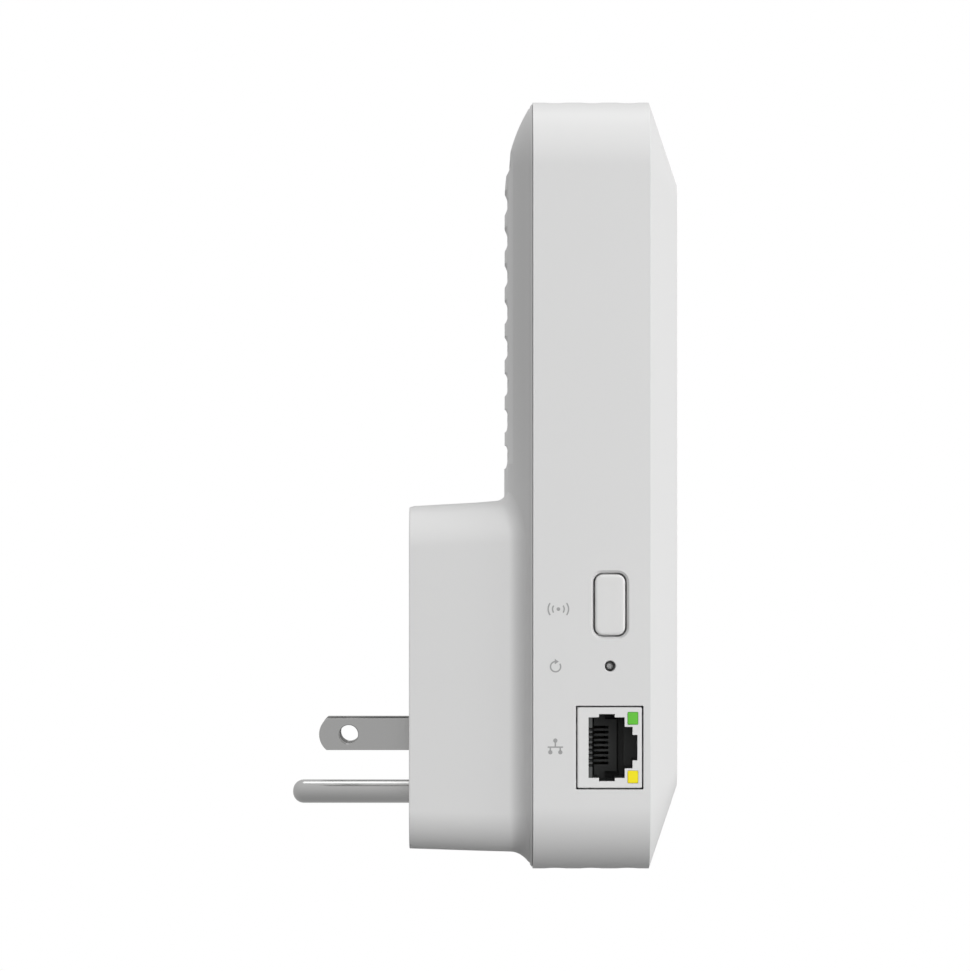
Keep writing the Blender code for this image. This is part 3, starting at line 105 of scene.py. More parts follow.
class Bench:
    """Modelling by hand: short names for runs of Blender's operators."""

    @staticmethod
    def take(obj: Thing) -> None:
        """Selects one object alone and makes it the active one."""
        bpy.ops.object.select_all(action="DESELECT")
        obj.select_set(True)
        bpy.context.view_layer.objects.active = obj

    @staticmethod
    def edit() -> None:
        """Opens the active object's mesh with all of it selected."""
        bpy.ops.object.mode_set(mode="EDIT")
        bpy.ops.mesh.select_all(action="SELECT")

    @staticmethod
    def settle(obj: Thing) -> Thing:
        """Puts an object's place into its mesh."""
        Bench.take(obj)
        bpy.ops.object.transform_apply(location=True, rotation=True, scale=True)
        return obj

    @staticmethod
    def loop(facing: Facing, centre: Place, size: Pair, radius: float, steps: int = 12) -> Thing:
        """Adds a rounded rectangle of edges.

        Args:
            facing: The way the rectangle faces.
            centre: Its middle.
            size: Its width and height.
            radius: The radius of its corners.
            steps: Segments in each corner.

        Returns:
            The new object, which has edges and no face.
        """
        bpy.ops.object.select_all(action="DESELECT")
        bpy.ops.mesh.primitive_plane_add(size=MM, location=at(*centre), rotation=facing.value)
        obj = bpy.context.object
        obj.scale = (size[0], size[1], 1.0)
        Bench.settle(obj)
        Bench.edit()
        bpy.ops.mesh.bevel(offset=radius * MM, segments=steps, affect="VERTICES", profile=0.5)
        bpy.ops.mesh.delete(type="ONLY_FACE")
        bpy.ops.object.mode_set(mode="OBJECT")
        return obj

    @staticmethod
    def ring(
        facing: Facing, centre: Place, radius: float, steps: int = 48, squash: float = 1.0
    ) -> Thing:
        """Adds a circle of edges, or an ellipse.

        Args:
            facing: The way the circle faces.
            centre: Its middle.
            radius: Its radius.
            steps: How many edges it has.
            squash: Its height as a share of its width.

        Returns:
            The new object, which has edges and no face.
        """
        bpy.ops.object.select_all(action="DESELECT")
        bpy.ops.mesh.primitive_circle_add(
            vertices=steps, radius=radius * MM, location=at(*centre), rotation=facing.value
        )
        obj = bpy.context.object
        obj.scale = (1.0, squash, 1.0)
        return Bench.settle(obj)

    @staticmethod
    def loft(name: str, loops: Sequence[Thing]) -> Thing:
        """Bridges each loop to the next and closes the first and the last.

        Loops that lie in one plane give the bridge no direction, so all the loops are spread
        apart along their common axis while they are bridged, and are put back afterwards.

        Args:
            name: The new piece's name.
            loops: Loops of edges, in the order in which the surface meets them.

        Returns:
            One closed mesh with its faces pointing out.
        """
        axis = Bench._thin_axis(loops[0])
        for number, loop in enumerate(loops):
            mark = loop.data.attributes.new("loop", "INT", "POINT")
            home = loop.data.attributes.new("home", "FLOAT_VECTOR", "POINT")
            for vert in loop.data.vertices:
                mark.data[vert.index].value = number
                home.data[vert.index].vector = vert.co
                vert.co[axis] += number * SPREAD
        obj = Bench.merge(name, loops)
        bpy.ops.object.mode_set(mode="EDIT")
        bpy.ops.mesh.select_mode(type="EDGE")
        last = len(loops) - 1
        for number in range(last):
            Bench._select_loops(obj, {number, number + 1})
            bpy.ops.mesh.bridge_edge_loops()
        for number in (0, last):
            Bench._select_loops(obj, {number})
            bpy.ops.mesh.edge_face_add()
        bpy.ops.object.mode_set(mode="OBJECT")
        home = obj.data.attributes["home"]
        for vert in obj.data.vertices:
            vert.co = home.data[vert.index].vector
        Bench.edit()
        bpy.ops.mesh.remove_doubles(threshold=1e-7)
        bpy.ops.mesh.normals_make_consistent(inside=False)
        bpy.ops.mesh.select_mode(type="VERT")
        bpy.ops.object.mode_set(mode="OBJECT")
        for mark_name in ("loop", "home"):
            obj.data.attributes.remove(obj.data.attributes[mark_name])
        return obj

    @staticmethod
    def stack(
        name: str,
        facing: Facing,
        centre: Place,
        size: Pair,
        radius: float,
        stations: Sequence[Pair],
        steps: int = 12,
        share: float = 0.5,
    ) -> Thing:
        """Lofts one rounded rectangle that grows from station to station.

        Args:
            name: The new piece's name.
            facing: The way the rectangles face.
            centre: Their middle at station 0.
            size: The width and height before any growth.
            radius: The corners' radius before any growth.
            stations: How far along each rectangle lies, and how much its size grows.
            steps: Segments in each corner.
            share: How much of the growth the corners' radius takes.

        Returns:
            One closed mesh.
        """
        return Bench.loft(
            name,
            [
                Bench.loop(
                    facing,
                    facing.along(centre, far),
                    (size[0] + grow, size[1] + grow),
                    radius + grow * share,
                    steps,
                )
                for far, grow in stations
            ],
        )

    @staticmethod
    def turned(
        name: str, facing: Facing, centre: Place, profile: Sequence[Pair], steps: int = 48
    ) -> Thing:
        """Lofts circles into a turned shape.

        Args:
            name: The new piece's name.
            facing: The way the circles face.
            centre: Their middle at station 0.
            profile: How far along each circle lies, and its radius.
            steps: How many edges each circle has.

        Returns:
            One closed mesh.
        """
        rings = [Bench.ring(facing, facing.along(centre, far), r, steps) for far, r in profile]
        return Bench.loft(name, rings)

    @staticmethod
    def _thin_axis(loop: Thing) -> int:
        """Finds the axis along which a loop is flattest."""
        spans = []
        for axis in range(3):
            values = [vert.co[axis] for vert in loop.data.vertices]
            spans.append(max(values) - min(values))
        return spans.index(min(spans))

    @staticmethod
    def _select_loops(obj: Thing, numbers: set[int]) -> None:
        """Selects the edges that lie in the numbered loops."""
        mesh = bmesh.from_edit_mesh(obj.data)
        layer = mesh.verts.layers.int["loop"]
        for edge in mesh.edges:
            first, second = (vert[layer] for vert in edge.verts)
            edge.select_set(first == second and first in numbers)
        bmesh.update_edit_mesh(obj.data)

    @staticmethod
    def trace(name: str, outline: Sequence[Place], thickness: Place) -> Thing:
        """Draws an outline point by point, fills it and extrudes the face.

        Args:
            name: The new piece's name.
            outline: The outline's points.
            thickness: How far the face is extruded.

        Returns:
            A closed prism.
        """
        bpy.ops.object.select_all(action="DESELECT")
        bpy.ops.mesh.primitive_plane_add(size=MM, location=at(*outline[0]))
        obj = Bench.settle(bpy.context.object)
        Bench.edit()
        bpy.ops.mesh.merge(type="CENTER")
        for here, there in zip(outline, outline[1:]):
            bpy.ops.mesh.extrude_vertices_move(
                TRANSFORM_OT_translate={"value": at(*there) - at(*here)}
            )
        bpy.ops.mesh.select_all(action="SELECT")
        bpy.ops.mesh.edge_face_add()
        bpy.ops.mesh.extrude_region_move(TRANSFORM_OT_translate={"value": at(*thickness)})
        bpy.ops.mesh.select_all(action="SELECT")
        bpy.ops.mesh.normals_make_consistent(inside=False)
        bpy.ops.object.mode_set(mode="OBJECT")
        obj.name = obj.data.name = name
        return obj

    @staticmethod
    def box(name: str, low: Place, high: Place) -> Thing:
        """Adds a box between two corners."""
        middle = at(*((a + b) / 2 for a, b in zip(low, high)))
        bpy.ops.object.select_all(action="DESELECT")
        bpy.ops.mesh.primitive_cube_add(size=MM, location=middle)
        obj = bpy.context.object
        obj.scale = tuple(abs(b - a) for a, b in zip(low, high))
        obj.name = obj.data.name = name
        return Bench.settle(obj)

    @staticmethod
    def rod(name: str, start: Place, length: float, radius: float) -> Thing:
        """Adds a cylinder that runs out into the room.

        Args:
            name: The new piece's name.
            start: The middle of its near end.
            length: How far it runs.
            radius: Its radius.

        Returns:
            A closed cylinder.
        """
        bpy.ops.object.select_all(action="DESELECT")
        bpy.ops.mesh.primitive_cylinder_add(
            vertices=32,
            radius=radius * MM,
            depth=length * MM,
            location=at(*Facing.DEEP.along(start, length / 2)),
            rotation=Facing.DEEP.value,
        )
        obj = bpy.context.object
        obj.name = obj.data.name = name
        return Bench.settle(obj)

    @staticmethod
    def copies(master: Thing, moves: Sequence[Place]) -> list[Thing]:
        """Copies a shape to each of several moves from where it stands, and removes it.

        Args:
            master: The shape to copy.
            moves: How far each copy is moved.

        Returns:
            The copies, each with its own mesh.
        """
        made = []
        for move in moves:
            Bench.take(master)
            bpy.ops.object.duplicate(linked=False)
            copy = bpy.context.object
            copy.location = at(*move)
            made.append(Bench.settle(copy))
        bpy.data.objects.remove(master, do_unlink=True)
        return made

    @staticmethod
    def merge(name: str, parts: Sequence[Thing]) -> Thing:
        """Joins objects into one mesh without touching their surfaces."""
        Bench.take(parts[0])
        for part in parts:
            part.select_set(True)
        if len(parts) > 1:
            bpy.ops.object.join()
        parts[0].name = parts[0].data.name = name
        return parts[0]

    @staticmethod
    def boolean(obj: Thing, tool: Thing, operation: str = "DIFFERENCE") -> Thing:
        """Cuts with a tool, or welds it on, and throws the tool away."""
        modifier = obj.modifiers.new("shape", "BOOLEAN")
        modifier.operation = operation
        modifier.solver = "EXACT"
        modifier.use_self = False
        modifier.object = tool
        Bench.take(obj)
        bpy.ops.object.modifier_apply(modifier="shape")
        bpy.data.objects.remove(tool, do_unlink=True)
        return obj

    @staticmethod
    def soften(obj: Thing, width: float, segments: int = 3, angle: float = 30.0) -> Thing:
        """Rounds every edge sharper than an angle.

        Args:
            obj: The piece.
            width: How wide the rounding is.
            segments: How many faces it has across.
            angle: The least angle between two faces whose edge is rounded, in degrees.

        Returns:
            The same piece.
        """
        modifier = obj.modifiers.new("soften", "BEVEL")
        modifier.width = width * MM
        modifier.segments = segments
        modifier.limit_method = "ANGLE"
        modifier.angle_limit = math.radians(angle)
        modifier.harden_normals = False
        Bench.take(obj)
        bpy.ops.object.modifier_apply(modifier="soften")
        return obj

    @staticmethod
    def finish(obj: Thing, angle: float = 30.0) -> Thing:
        """Cleans a finished mesh and gives it smooth shading weighted by face area."""
        Bench.take(obj)
        Bench.edit()
        bpy.ops.mesh.remove_doubles(threshold=2e-7)
        bpy.ops.object.mode_set(mode="OBJECT")
        bpy.ops.object.shade_smooth_by_angle(angle=math.radians(angle))
        modifier = obj.modifiers.new("normals", "WEIGHTED_NORMAL")
        modifier.keep_sharp = True
        modifier.weight = 80
        bpy.ops.object.modifier_apply(modifier="normals")
        return obj


# ---------------------------------------------------------------- node trees


class Net:
    """A tree of shader nodes, with a short way to add nodes and feed their inputs."""

    def __init__(self, tree: bpy.types.NodeTree) -> None:
        """Takes the tree that the nodes go into."""
        self.tree = tree

    def add(self, kind: str, feeds: dict | None = None, **settings: object) -> bpy.types.Node:
        """Adds a node.

        Args:
            kind: The node's type, without the prefix that all of them share.
            feeds: A value, or the output that drives it, for each input by name or number.
            settings: The node's own properties.

        Returns:
            The new node.
        """
        node = self.tree.nodes.new("ShaderNode" + kind)
        for label, value in settings.items():
            setattr(node, label, value)
        self.feed(node, feeds or {})
        return node

    def feed(self, node: bpy.types.Node, feeds: dict) -> None:
        """Sets each input of a node, or links it to the output given for it."""
        for label, value in feeds.items():
            if isinstance(value, bpy.types.NodeSocket):
                self.tree.links.new(value, node.inputs[label])
            else:
                node.inputs[label].default_value = value

    def place(self) -> bpy.types.NodeSocket:
        """The surface's place in the object's own frame."""
        return self.add("TexCoord").outputs["Object"]


class Effects:
    """Node groups that more than one finish uses; each is built once."""

    @staticmethod
    def _group(
        name: str, inputs: dict[str, float], outputs: Sequence[str]
    ) -> tuple[Net, bpy.types.Node, bpy.types.Node]:
        """Starts a node group.

        Args:
            name: The group's name.
            inputs: Its inputs, with their values until they are fed.
            outputs: The names of its outputs.

        Returns:
            The group's tree, the node that holds its inputs and the one that takes its outputs.
        """
        tree = bpy.data.node_groups.new(name, "ShaderNodeTree")
        kind = "NodeSocketFloat"
        for label, value in inputs.items():
            made = tree.interface.new_socket(name=label, in_out="INPUT", socket_type=kind)
            made.default_value = value
        for label in outputs:
            tree.interface.new_socket(name=label, in_out="OUTPUT", socket_type=kind)
        return Net(tree), tree.nodes.new("NodeGroupInput"), tree.nodes.new("NodeGroupOutput")

    @staticmethod
    def grain() -> bpy.types.NodeTree:
        """Spark-eroded mould grain: a fine pitted height that varies over the surface."""
        found = bpy.data.node_groups.get("mould_grain")
        if found:
            return found
        inputs = {"Scale": 3000.0, "Mottle": 0.3}
        net, source, sink = Effects._group("mould_grain", inputs, ["Height"])
        feeds = {"Vector": net.place(), "Scale": source.outputs["Scale"]}
        pits = net.add("TexNoise", {**feeds, "Detail": 3.0, "Roughness": 0.6})
        cells = net.add("TexVoronoi", feeds)
        mottle = source.outputs["Mottle"]
        blend = net.add(
            "Mix", {0: mottle, 2: pits.outputs["Fac"], 3: cells.outputs["Distance"]}
        )
        net.feed(sink, {"Height": blend.outputs[0]})
        return net.tree

    @staticmethod
    def drift() -> bpy.types.NodeTree:
        """A slow change of tone over a surface, with a mask that follows it."""
        found = bpy.data.node_groups.get("tone_drift")
        if found:
            return found
        inputs = {"Scale": 40.0, "Least": 0.96, "Most": 1.0}
        net, source, sink = Effects._group("tone_drift", inputs, ["Tone", "Mask"])
        feeds = {"Vector": net.place(), "Scale": source.outputs["Scale"], "Detail": 4.0}
        cloud = net.add("TexNoise", feeds).outputs["Fac"]
        limits = {"From Min": 0.3, "From Max": 0.7}
        limits |= {"To Min": source.outputs["Least"], "To Max": source.outputs["Most"]}
        spread = net.add("MapRange", {"Value": cloud, **limits})
        net.feed(sink, {"Tone": spread.outputs["Result"], "Mask": cloud})
        return net.tree

    @staticmethod
    def brushing() -> bpy.types.NodeTree:
        """Drawn or rolled lines along the depth of the object."""
        found = bpy.data.node_groups.get("drawn_lines")
        if found:
            return found
        net, source, sink = Effects._group("drawn_lines", {"Scale": 900.0}, ["Height"])
        stretch = net.add("Mapping", {"Vector": net.place(), "Scale": (1.0, 0.04, 1.0)})
        feeds = {"Vector": stretch.outputs["Vector"], "Scale": source.outputs["Scale"]}
        lines = net.add("TexNoise", {**feeds, "Detail": 5.0})
        net.feed(sink, {"Height": lines.outputs["Fac"]})
        return net.tree


# ---------------------------------------------------------------- finishes


@dataclass(frozen=True)
class Finish:
    """What every finish has: a name, a colour, a roughness and a slow drift of tone."""

    name: str
    colour: tuple[float, float, float]
    roughness: float = 0.4
    metallic: float = 0.0
    specular: float = 0.5
    coat: float = 0.0
    coat_roughness: float = 0.15
    drift_scale: float = 30.0
    drift_least: float = 0.965
    roughness_drift: Pair = (-0.04, 0.05)
    relief: Pair = (0.5, 0.012)

    def dress(self, *pieces: Thing) -> None:
        """Gives the finish to pieces as their only material."""
        made = self.material()
        for piece in pieces:
            if not piece.material_slots:
                piece.data.materials.append(made)
            for slot in piece.material_slots:
                slot.material = made

    def material(self) -> bpy.types.Material:
        """Returns the finish's material, and builds it when it is first asked for."""
        label = self.name + "_finish"
        found = bpy.data.materials.get(label)
        if found:
            return found
        made = bpy.data.materials.new(label)
        made.use_nodes = True
        net = Net(made.node_tree)
        shader = made.node_tree.nodes["Principled BSDF"]
        net.feed(
            shader,
            {
                "Metallic": self.metallic,
                "Specular IOR Level": self.specular,
                "Coat Weight": self.coat,
                "Coat Roughness": self.coat_roughness,
            },
        )
        self._tone(net, shader)
        self._surface(net, shader)
        return made

    def _tone(self, net: Net, shader: bpy.types.Node) -> None:
        """Drives the colour and the roughness with a slow drift of tone."""
        values = {"Scale": self.drift_scale, "Least": self.drift_least, "Most": 1.0}
        drift = net.add("Group", values, node_tree=Effects.drift())
        tint = net.add(
            "Mix",
            {"Factor": 1.0, 6: (*self.colour, 1.0), 7: drift.outputs["Tone"]},
            data_type="RGBA",
            blend_type="MULTIPLY",
        )
        low, high = (self.roughness + change for change in self.roughness_drift)
        spread = net.add(
            "MapRange", {"Value": drift.outputs["Mask"], "To Min": low, "To Max": high}
        )
        net.feed(shader, {"Base Color": tint.outputs[2], "Roughness": spread.outputs["Result"]})

    def _bump(self, net: Net, shader: bpy.types.Node, height: bpy.types.NodeSocket) -> None:
        """Raises the surface by a height, with the relief's strength and distance."""
        strength, distance = self.relief
        feeds = {"Strength": strength, "Distance": distance * MM, "Height": height}
        net.feed(shader, {"Normal": net.add("Bump", feeds).outputs["Normal"]})

    def _surface(self, net: Net, shader: bpy.types.Node) -> None:
        """Adds the finish's own surface; the plain finish has none."""


@dataclass(frozen=True)
class MouldedPlastic(Finish):
    """Injection-moulded plastic with a spark-eroded grain."""

    grain_scale: float = 3200.0
    mottle: float = 0.35

    def _surface(self, net: Net, shader: bpy.types.Node) -> None:
        """Adds the mould's grain as bump."""
        values = {"Scale": self.grain_scale, "Mottle": self.mottle}
        grain = net.add("Group", values, node_tree=Effects.grain())
        self._bump(net, shader, grain.outputs["Height"])


@dataclass(frozen=True)
class PlatedMetal(Finish):
    """Rolled or drawn metal under a thin plating."""

    metallic: float = 1.0
    relief: Pair = (0.35, 0.004)
    line_scale: float = 900.0

    def _surface(self, net: Net, shader: bpy.types.Node) -> None:
        """Adds fine lines along the metal's length."""
        lines = net.add("Group", {"Scale": self.line_scale}, node_tree=Effects.brushing())
        self._bump(net, shader, lines.outputs["Height"])


@dataclass(frozen=True)
class LightGuide(Finish):
    """Tinted or clear moulding that passes some light, and can carry a painted glow in its own
    colour.
    """

    transmission: float = 0.0
    painted_glow: float = 0.0

    def _surface(self, net: Net, shader: bpy.types.Node) -> None:
        """Sets how much light the moulding passes, and the painted glow that it gives off though
        nothing lights it.
        """
        shader.inputs["Transmission Weight"].default_value = self.transmission
        shader.inputs["Emission Color"].default_value = (*self.colour, 1.0)
        # Painted glow: emission in the lens's own colour, with no lamp behind it.
        shader.inputs["Emission Strength"].default_value = self.painted_glow


@dataclass(frozen=True)
class CircuitLaminate(Finish):
    """Glass-fibre board under a solder mask, with copper runs that show through it."""

    relief: Pair = (0.4, 0.03)
    run_scale: float = 420.0
    run_edge: Pair = (0.25, 0.3)
    run_lift: float = 1.7

    def _surface(self, net: Net, shader: bpy.types.Node) -> None:
        """Draws the runs as raised cells and lightens them."""
        runs = net.add(
            "TexVoronoi", {"Vector": net.place(), "Scale": self.run_scale}, distance="CHEBYCHEV"
        )
        low, high = self.run_edge
        feeds = {"Value": runs.outputs["Distance"], "From Min": low, "From Max": high}
        ramp = net.add("MapRange", feeds).outputs["Result"]
        lifted = (*(part * self.run_lift for part in self.colour), 1.0)
        feeds = {"Factor": ramp, 6: (*self.colour, 1.0), 7: lifted}
        tint = net.add("Mix", feeds, data_type="RGBA")
        net.feed(shader, {"Base Color": tint.outputs[2]})
        self._bump(net, shader, ramp)


@dataclass(frozen=True)
class WoundTape(Finish):
    """Layers of thin tape or sleeve, wrapped round."""

    relief: Pair = (0.3, 0.05)
    wrap_scale: float = 260.0
    lap: float = 0.6

    def _surface(self, net: Net, shader: bpy.types.Node) -> None:
        """Adds the low steps where one turn laps the last."""
        feeds = {"Vector": net.place(), "Scale": self.wrap_scale, "Distortion": self.lap}
        wraps = net.add("TexWave", feeds, bands_direction="Y")
        self._bump(net, shader, wraps.outputs["Fac"])


class Finishes:
    """Every finish on the object; the inner parts' are named after their material slots."""

    SHELL = MouldedPlastic("shell_plastic", (0.735, 0.735, 0.733), 0.42, drift_least=0.99)
    BLOCK = MouldedPlastic("block_plastic", (0.735, 0.722, 0.71), 0.45, drift_least=0.99)
    BUTTON = MouldedPlastic(
        "button_plastic", (0.75, 0.75, 0.745), 0.36, grain_scale=5200.0, drift_least=0.985
    )
    PRONG = PlatedMetal("prong_metal", (0.52, 0.52, 0.515), 0.2)
    SCREEN = PlatedMetal("socket_metal", (0.78, 0.78, 0.775), 0.42, metallic=0.0)
    INSERT = MouldedPlastic(
        "socket_plastic", (0.075, 0.078, 0.077), 0.5, grain_scale=4200.0, drift_least=0.9
    )
    # The contacts' colour is a dark bronze, not gold: painted shade for wires deep in the port.
    SHADED_CONTACT = PlatedMetal("contact_metal", (0.1, 0.085, 0.05), 0.35, line_scale=2600.0)
    # The lamps' lenses carry a small painted glow that keeps their colour bright.
    GREEN = LightGuide("green_lens", (0.115, 0.5, 0.035), 0.32, coat=0.3, painted_glow=0.12)
    YELLOW = LightGuide("yellow_lens", (0.86, 0.74, 0.004), 0.32, coat=0.3, painted_glow=0.12)
    CLEAR = LightGuide("clear_plastic", (0.86, 0.88, 0.89), 0.1, transmission=0.55)
    LAMINATE = CircuitLaminate("board_laminate", (0.012, 0.1, 0.04), 0.36, coat=0.4)
    TIN = PlatedMetal("tinned_steel", (0.62, 0.62, 0.6), 0.34, line_scale=1500.0)
    ALUMINIUM = PlatedMetal("aluminium", (0.72, 0.72, 0.73), 0.38, line_scale=1200.0)
    COMPONENT = MouldedPlastic("component_plastic", (0.02, 0.02, 0.021), 0.5)
    SLEEVE = WoundTape("capacitor_sleeve", (0.02, 0.035, 0.1), 0.3, coat=0.3)
    FERRITE = MouldedPlastic("ferrite", (0.05, 0.05, 0.053), 0.62, grain_scale=1800.0)
    STEM = MouldedPlastic("stem_plastic", (0.55, 0.55, 0.55), 0.35, grain_scale=4200.0)
    TAPE = WoundTape("winding_tape", (0.72, 0.5, 0.06), 0.42)
    FILM = MouldedPlastic("insulation_film", (0.78, 0.76, 0.68), 0.3, grain_scale=1200.0)
    WIRE = WoundTape("wire_sleeve", (0.03, 0.03, 0.032), 0.4, wrap_scale=900.0)
    ANTENNA = PlatedMetal("antenna_metal", (0.72, 0.5, 0.26), 0.34, line_scale=1500.0)
    PAD = MouldedPlastic("thermal_pad", (0.3, 0.37, 0.5), 0.8, grain_scale=900.0)
    LABEL = MouldedPlastic("label_film", (0.78, 0.78, 0.77), 0.32, grain_scale=2400.0)
    PRINT = MouldedPlastic("print_ink", (0.375, 0.375, 0.375), 0.5, grain_scale=5200.0)


# ---------------------------------------------------------------- body shape


@dataclass(frozen=True)
class Body:
    """The outline and the depths that both shells share, in millimetres."""

    width: float = 80.0
    height: float = 152.1
    middle: float = 50.4
    corner: float = 13.0
    rear: float = 19.0
    seam: float = 24.45
    side_edge: float = 47.5
    front: float = 53.3
    wall: float = 1.8
    rear_curve: float = 18.0
    steps: int = 16

    @property
    def side(self) -> float:
        """The place of the side wall that carries the controls."""
        return -self.width / 2

    def loop(self, depth: float, inset: float) -> Thing:
        """The outline at one depth, drawn in by an inset."""
        return Bench.loop(
            Facing.DEEP,
            (0.0, depth, self.middle),
            (self.width - 2 * inset, self.height - 2 * inset),
            max(self.corner - inset, 1.0),
            self.steps,
        )

    def inset(self, x: float, z: float) -> float:
        """How far a point lies inside the outline."""
        across = abs(x) - (self.width / 2 - self.corner)
        along = abs(z - self.middle) - (self.height / 2 - self.corner)
        if across > 0 and along > 0:
            return self.corner - math.hypot(across, along)
        return self.corner - max(across, along)

    def rear_depth(self, inset: float) -> float:
        """Depth of the back at an inset: flat, then an arc that falls to the seam."""
        drop = self.seam - self.rear
        radius = (self.rear_curve**2 + drop**2) / (2 * drop)
        run = max(self.rear_curve - inset, 0.0)
        return self.rear + radius - math.sqrt(radius**2 - run**2)


@dataclass
class Vents:
    """Flutes with slots along their bottoms, on the back and across both ends."""

    body: Body
    pitch: float = 7.35
    height: float = 4.8
    brow: float = 1.0
    lip: float = 0.4
    crown: float = 0.72
    crown_half: float = 22.0
    crown_reach: float = 34.0
    crown_start: float = 1.5
    sink: float = 0.65
    top_extra: float = 0.45
    rows: int = 9
    lowest: float = 56.2
    end_depths: tuple[float, ...] = (28.95, 36.1, 43.3)
    end_fade: tuple[Pair, ...] = (
        (17.0, 1.0), (21.0, 0.9), (24.0, 0.72), (26.5, 0.56), (29.0, 0.42), (33.0, 0.3)
    )  # fmt: skip
    slot: Pair = (11.0, 1.5)
    slot_mouth: float = 0.3
    slot_rise: float = 0.3
    spacing: float = 14.0
    columns: int = 3

    def _slot_places(self) -> list[float]:
        """The slots' middles across the body."""
        half = (self.columns - 1) / 2
        return [(column - half) * self.spacing for column in range(self.columns)]

    def _slot(self, facing: Facing, centre: Place, stations: Sequence[Pair]) -> Thing:
        """One slot's cutter, with a chamfered mouth."""
        corner = self.slot[1] / 2 - 0.01
        return Bench.stack("slot_tool", facing, centre, self.slot, corner, stations, 8)

    def end_flute_tools(self) -> list[Thing]:
        """Round cutters that keep their width and lose their depth towards the corners."""
        radius = (self.height**2 / 4 + self.sink**2) / (2 * self.sink)
        stations = [(-x, share) for x, share in reversed(self.end_fade)] + list(self.end_fade)
        first = self.end_depths[0]
        tools = []
        for side in (1, -1):
            wall = self.body.middle + side * self.body.height / 2
            rise = side * (radius - self.sink)
            loops = [
                Bench.ring(Facing.ACROSS, (x, first, wall + rise * share), radius, 96, share)
                for x, share in stations
            ]
            moves = [(0.0, depth - first, 0.0) for depth in self.end_depths]
            tools += Bench.copies(Bench.loft("flute_tool", loops), moves)
        return tools

    def end_slot_tools(self) -> Thing:
        """Slot cutters for the top and the bottom walls, wider at the mouth."""
        mouth = self.slot_mouth
        steps = ((1.0, mouth), (-self.sink + 0.2, mouth), (-self.sink - 0.12, 0.0), (-3.0, 0.0))
        moves = [(x, depth, 0.0) for depth in self.end_depths for x in self._slot_places()]
        tools = []
        for side in (1, -1):
            wall = self.body.middle + side * self.body.height / 2
            stations = [(side * rise, grow) for rise, grow in steps]
            tools += Bench.copies(self._slot(Facing.UP, (0.0, 0.0, wall), stations), moves)
        return Bench.merge("slot_tools", tools)

    def crown_tool(self) -> Thing:
        """Crowns the back across its width, so that the flutes run out at their ends."""
        rear, start, steps = self.body.rear, self.lowest - self.crown_start, 20
        outline = [(-self.crown_reach, rear - 1.0, start)]
        for step in range(-steps, steps + 1):
            x = self.crown_reach * step / steps
            outline.append((x, rear + self.crown * (x / self.crown_half) ** 2, start))
        outline.append((self.crown_reach, rear - 1.0, start))
        return Bench.trace("crown", outline, (0.0, 0.0, self.body.height / 2))

    def rear_flute_tools(self) -> Thing:
        """Scoops across the whole back; the top one is deeper."""
        moves = [(0.0, 0.0, row * self.pitch) for row in range(self.rows - 1)]
        tools = Bench.copies(self._scoop(self.lowest, self.sink), moves)
        top = self.lowest + (self.rows - 1) * self.pitch
        tools.append(self._scoop(top, self.sink + self.top_extra))
        return Bench.merge("rear_flute_tools", tools)

    def _scoop(self, z: float, sink: float) -> Thing:
        """One cutter for the back: a quick drop at the top and a long run-out below.

        Args:
            z: The flute's middle.
            sink: Its depth.

        Returns:
            The flute's section, extruded across the body.
        """
        rear, half = self.body.rear, self.height / 2
        reach = self.body.width / 2 + 1.0
        section = [(rear - 1.5, z + half), (rear - 0.05, z + half)]
        for step in range(1, 10):
            turn = QUARTER * step / 9
            fall = self.brow * (1 - math.cos(turn))
            section.append((rear + sink * math.sin(turn), z + half - fall))
        for step in range(1, 13):
            turn = QUARTER * step / 12
            fall = self.lip + (half - self.lip) * math.sin(turn)
            section.append((rear + sink * math.cos(turn), z - fall))
        section.append((rear - 1.5, z - half))
        outline = [(-reach, depth, height) for depth, height in section]
        return Bench.trace("scoop", outline, (2 * reach, 0.0, 0.0))

    def rear_slot_tools(self) -> Thing:
        """Slot cutters through the back, one row to a flute."""
        rear, bottom, mouth = self.body.rear, self.body.rear + self.sink, self.slot_mouth
        stations = (
            (rear - 1.0, mouth),
            (bottom - 0.15, mouth),
            (bottom + 0.15, 0.0),
            (rear + self.body.wall + 1.0, 0.0),
        )
        lowest = self.lowest + self.slot_rise
        moves = [
            (x, 0.0, lowest + row * self.pitch)
            for row in range(self.rows)
            for x in self._slot_places()
        ]
        slot = self._slot(Facing.DEEP, (0.0, 0.0, 0.0), stations)
        return Bench.merge("rear_slot_tools", Bench.copies(slot, moves))


# ---------------------------------------------------------------- sub-assemblies


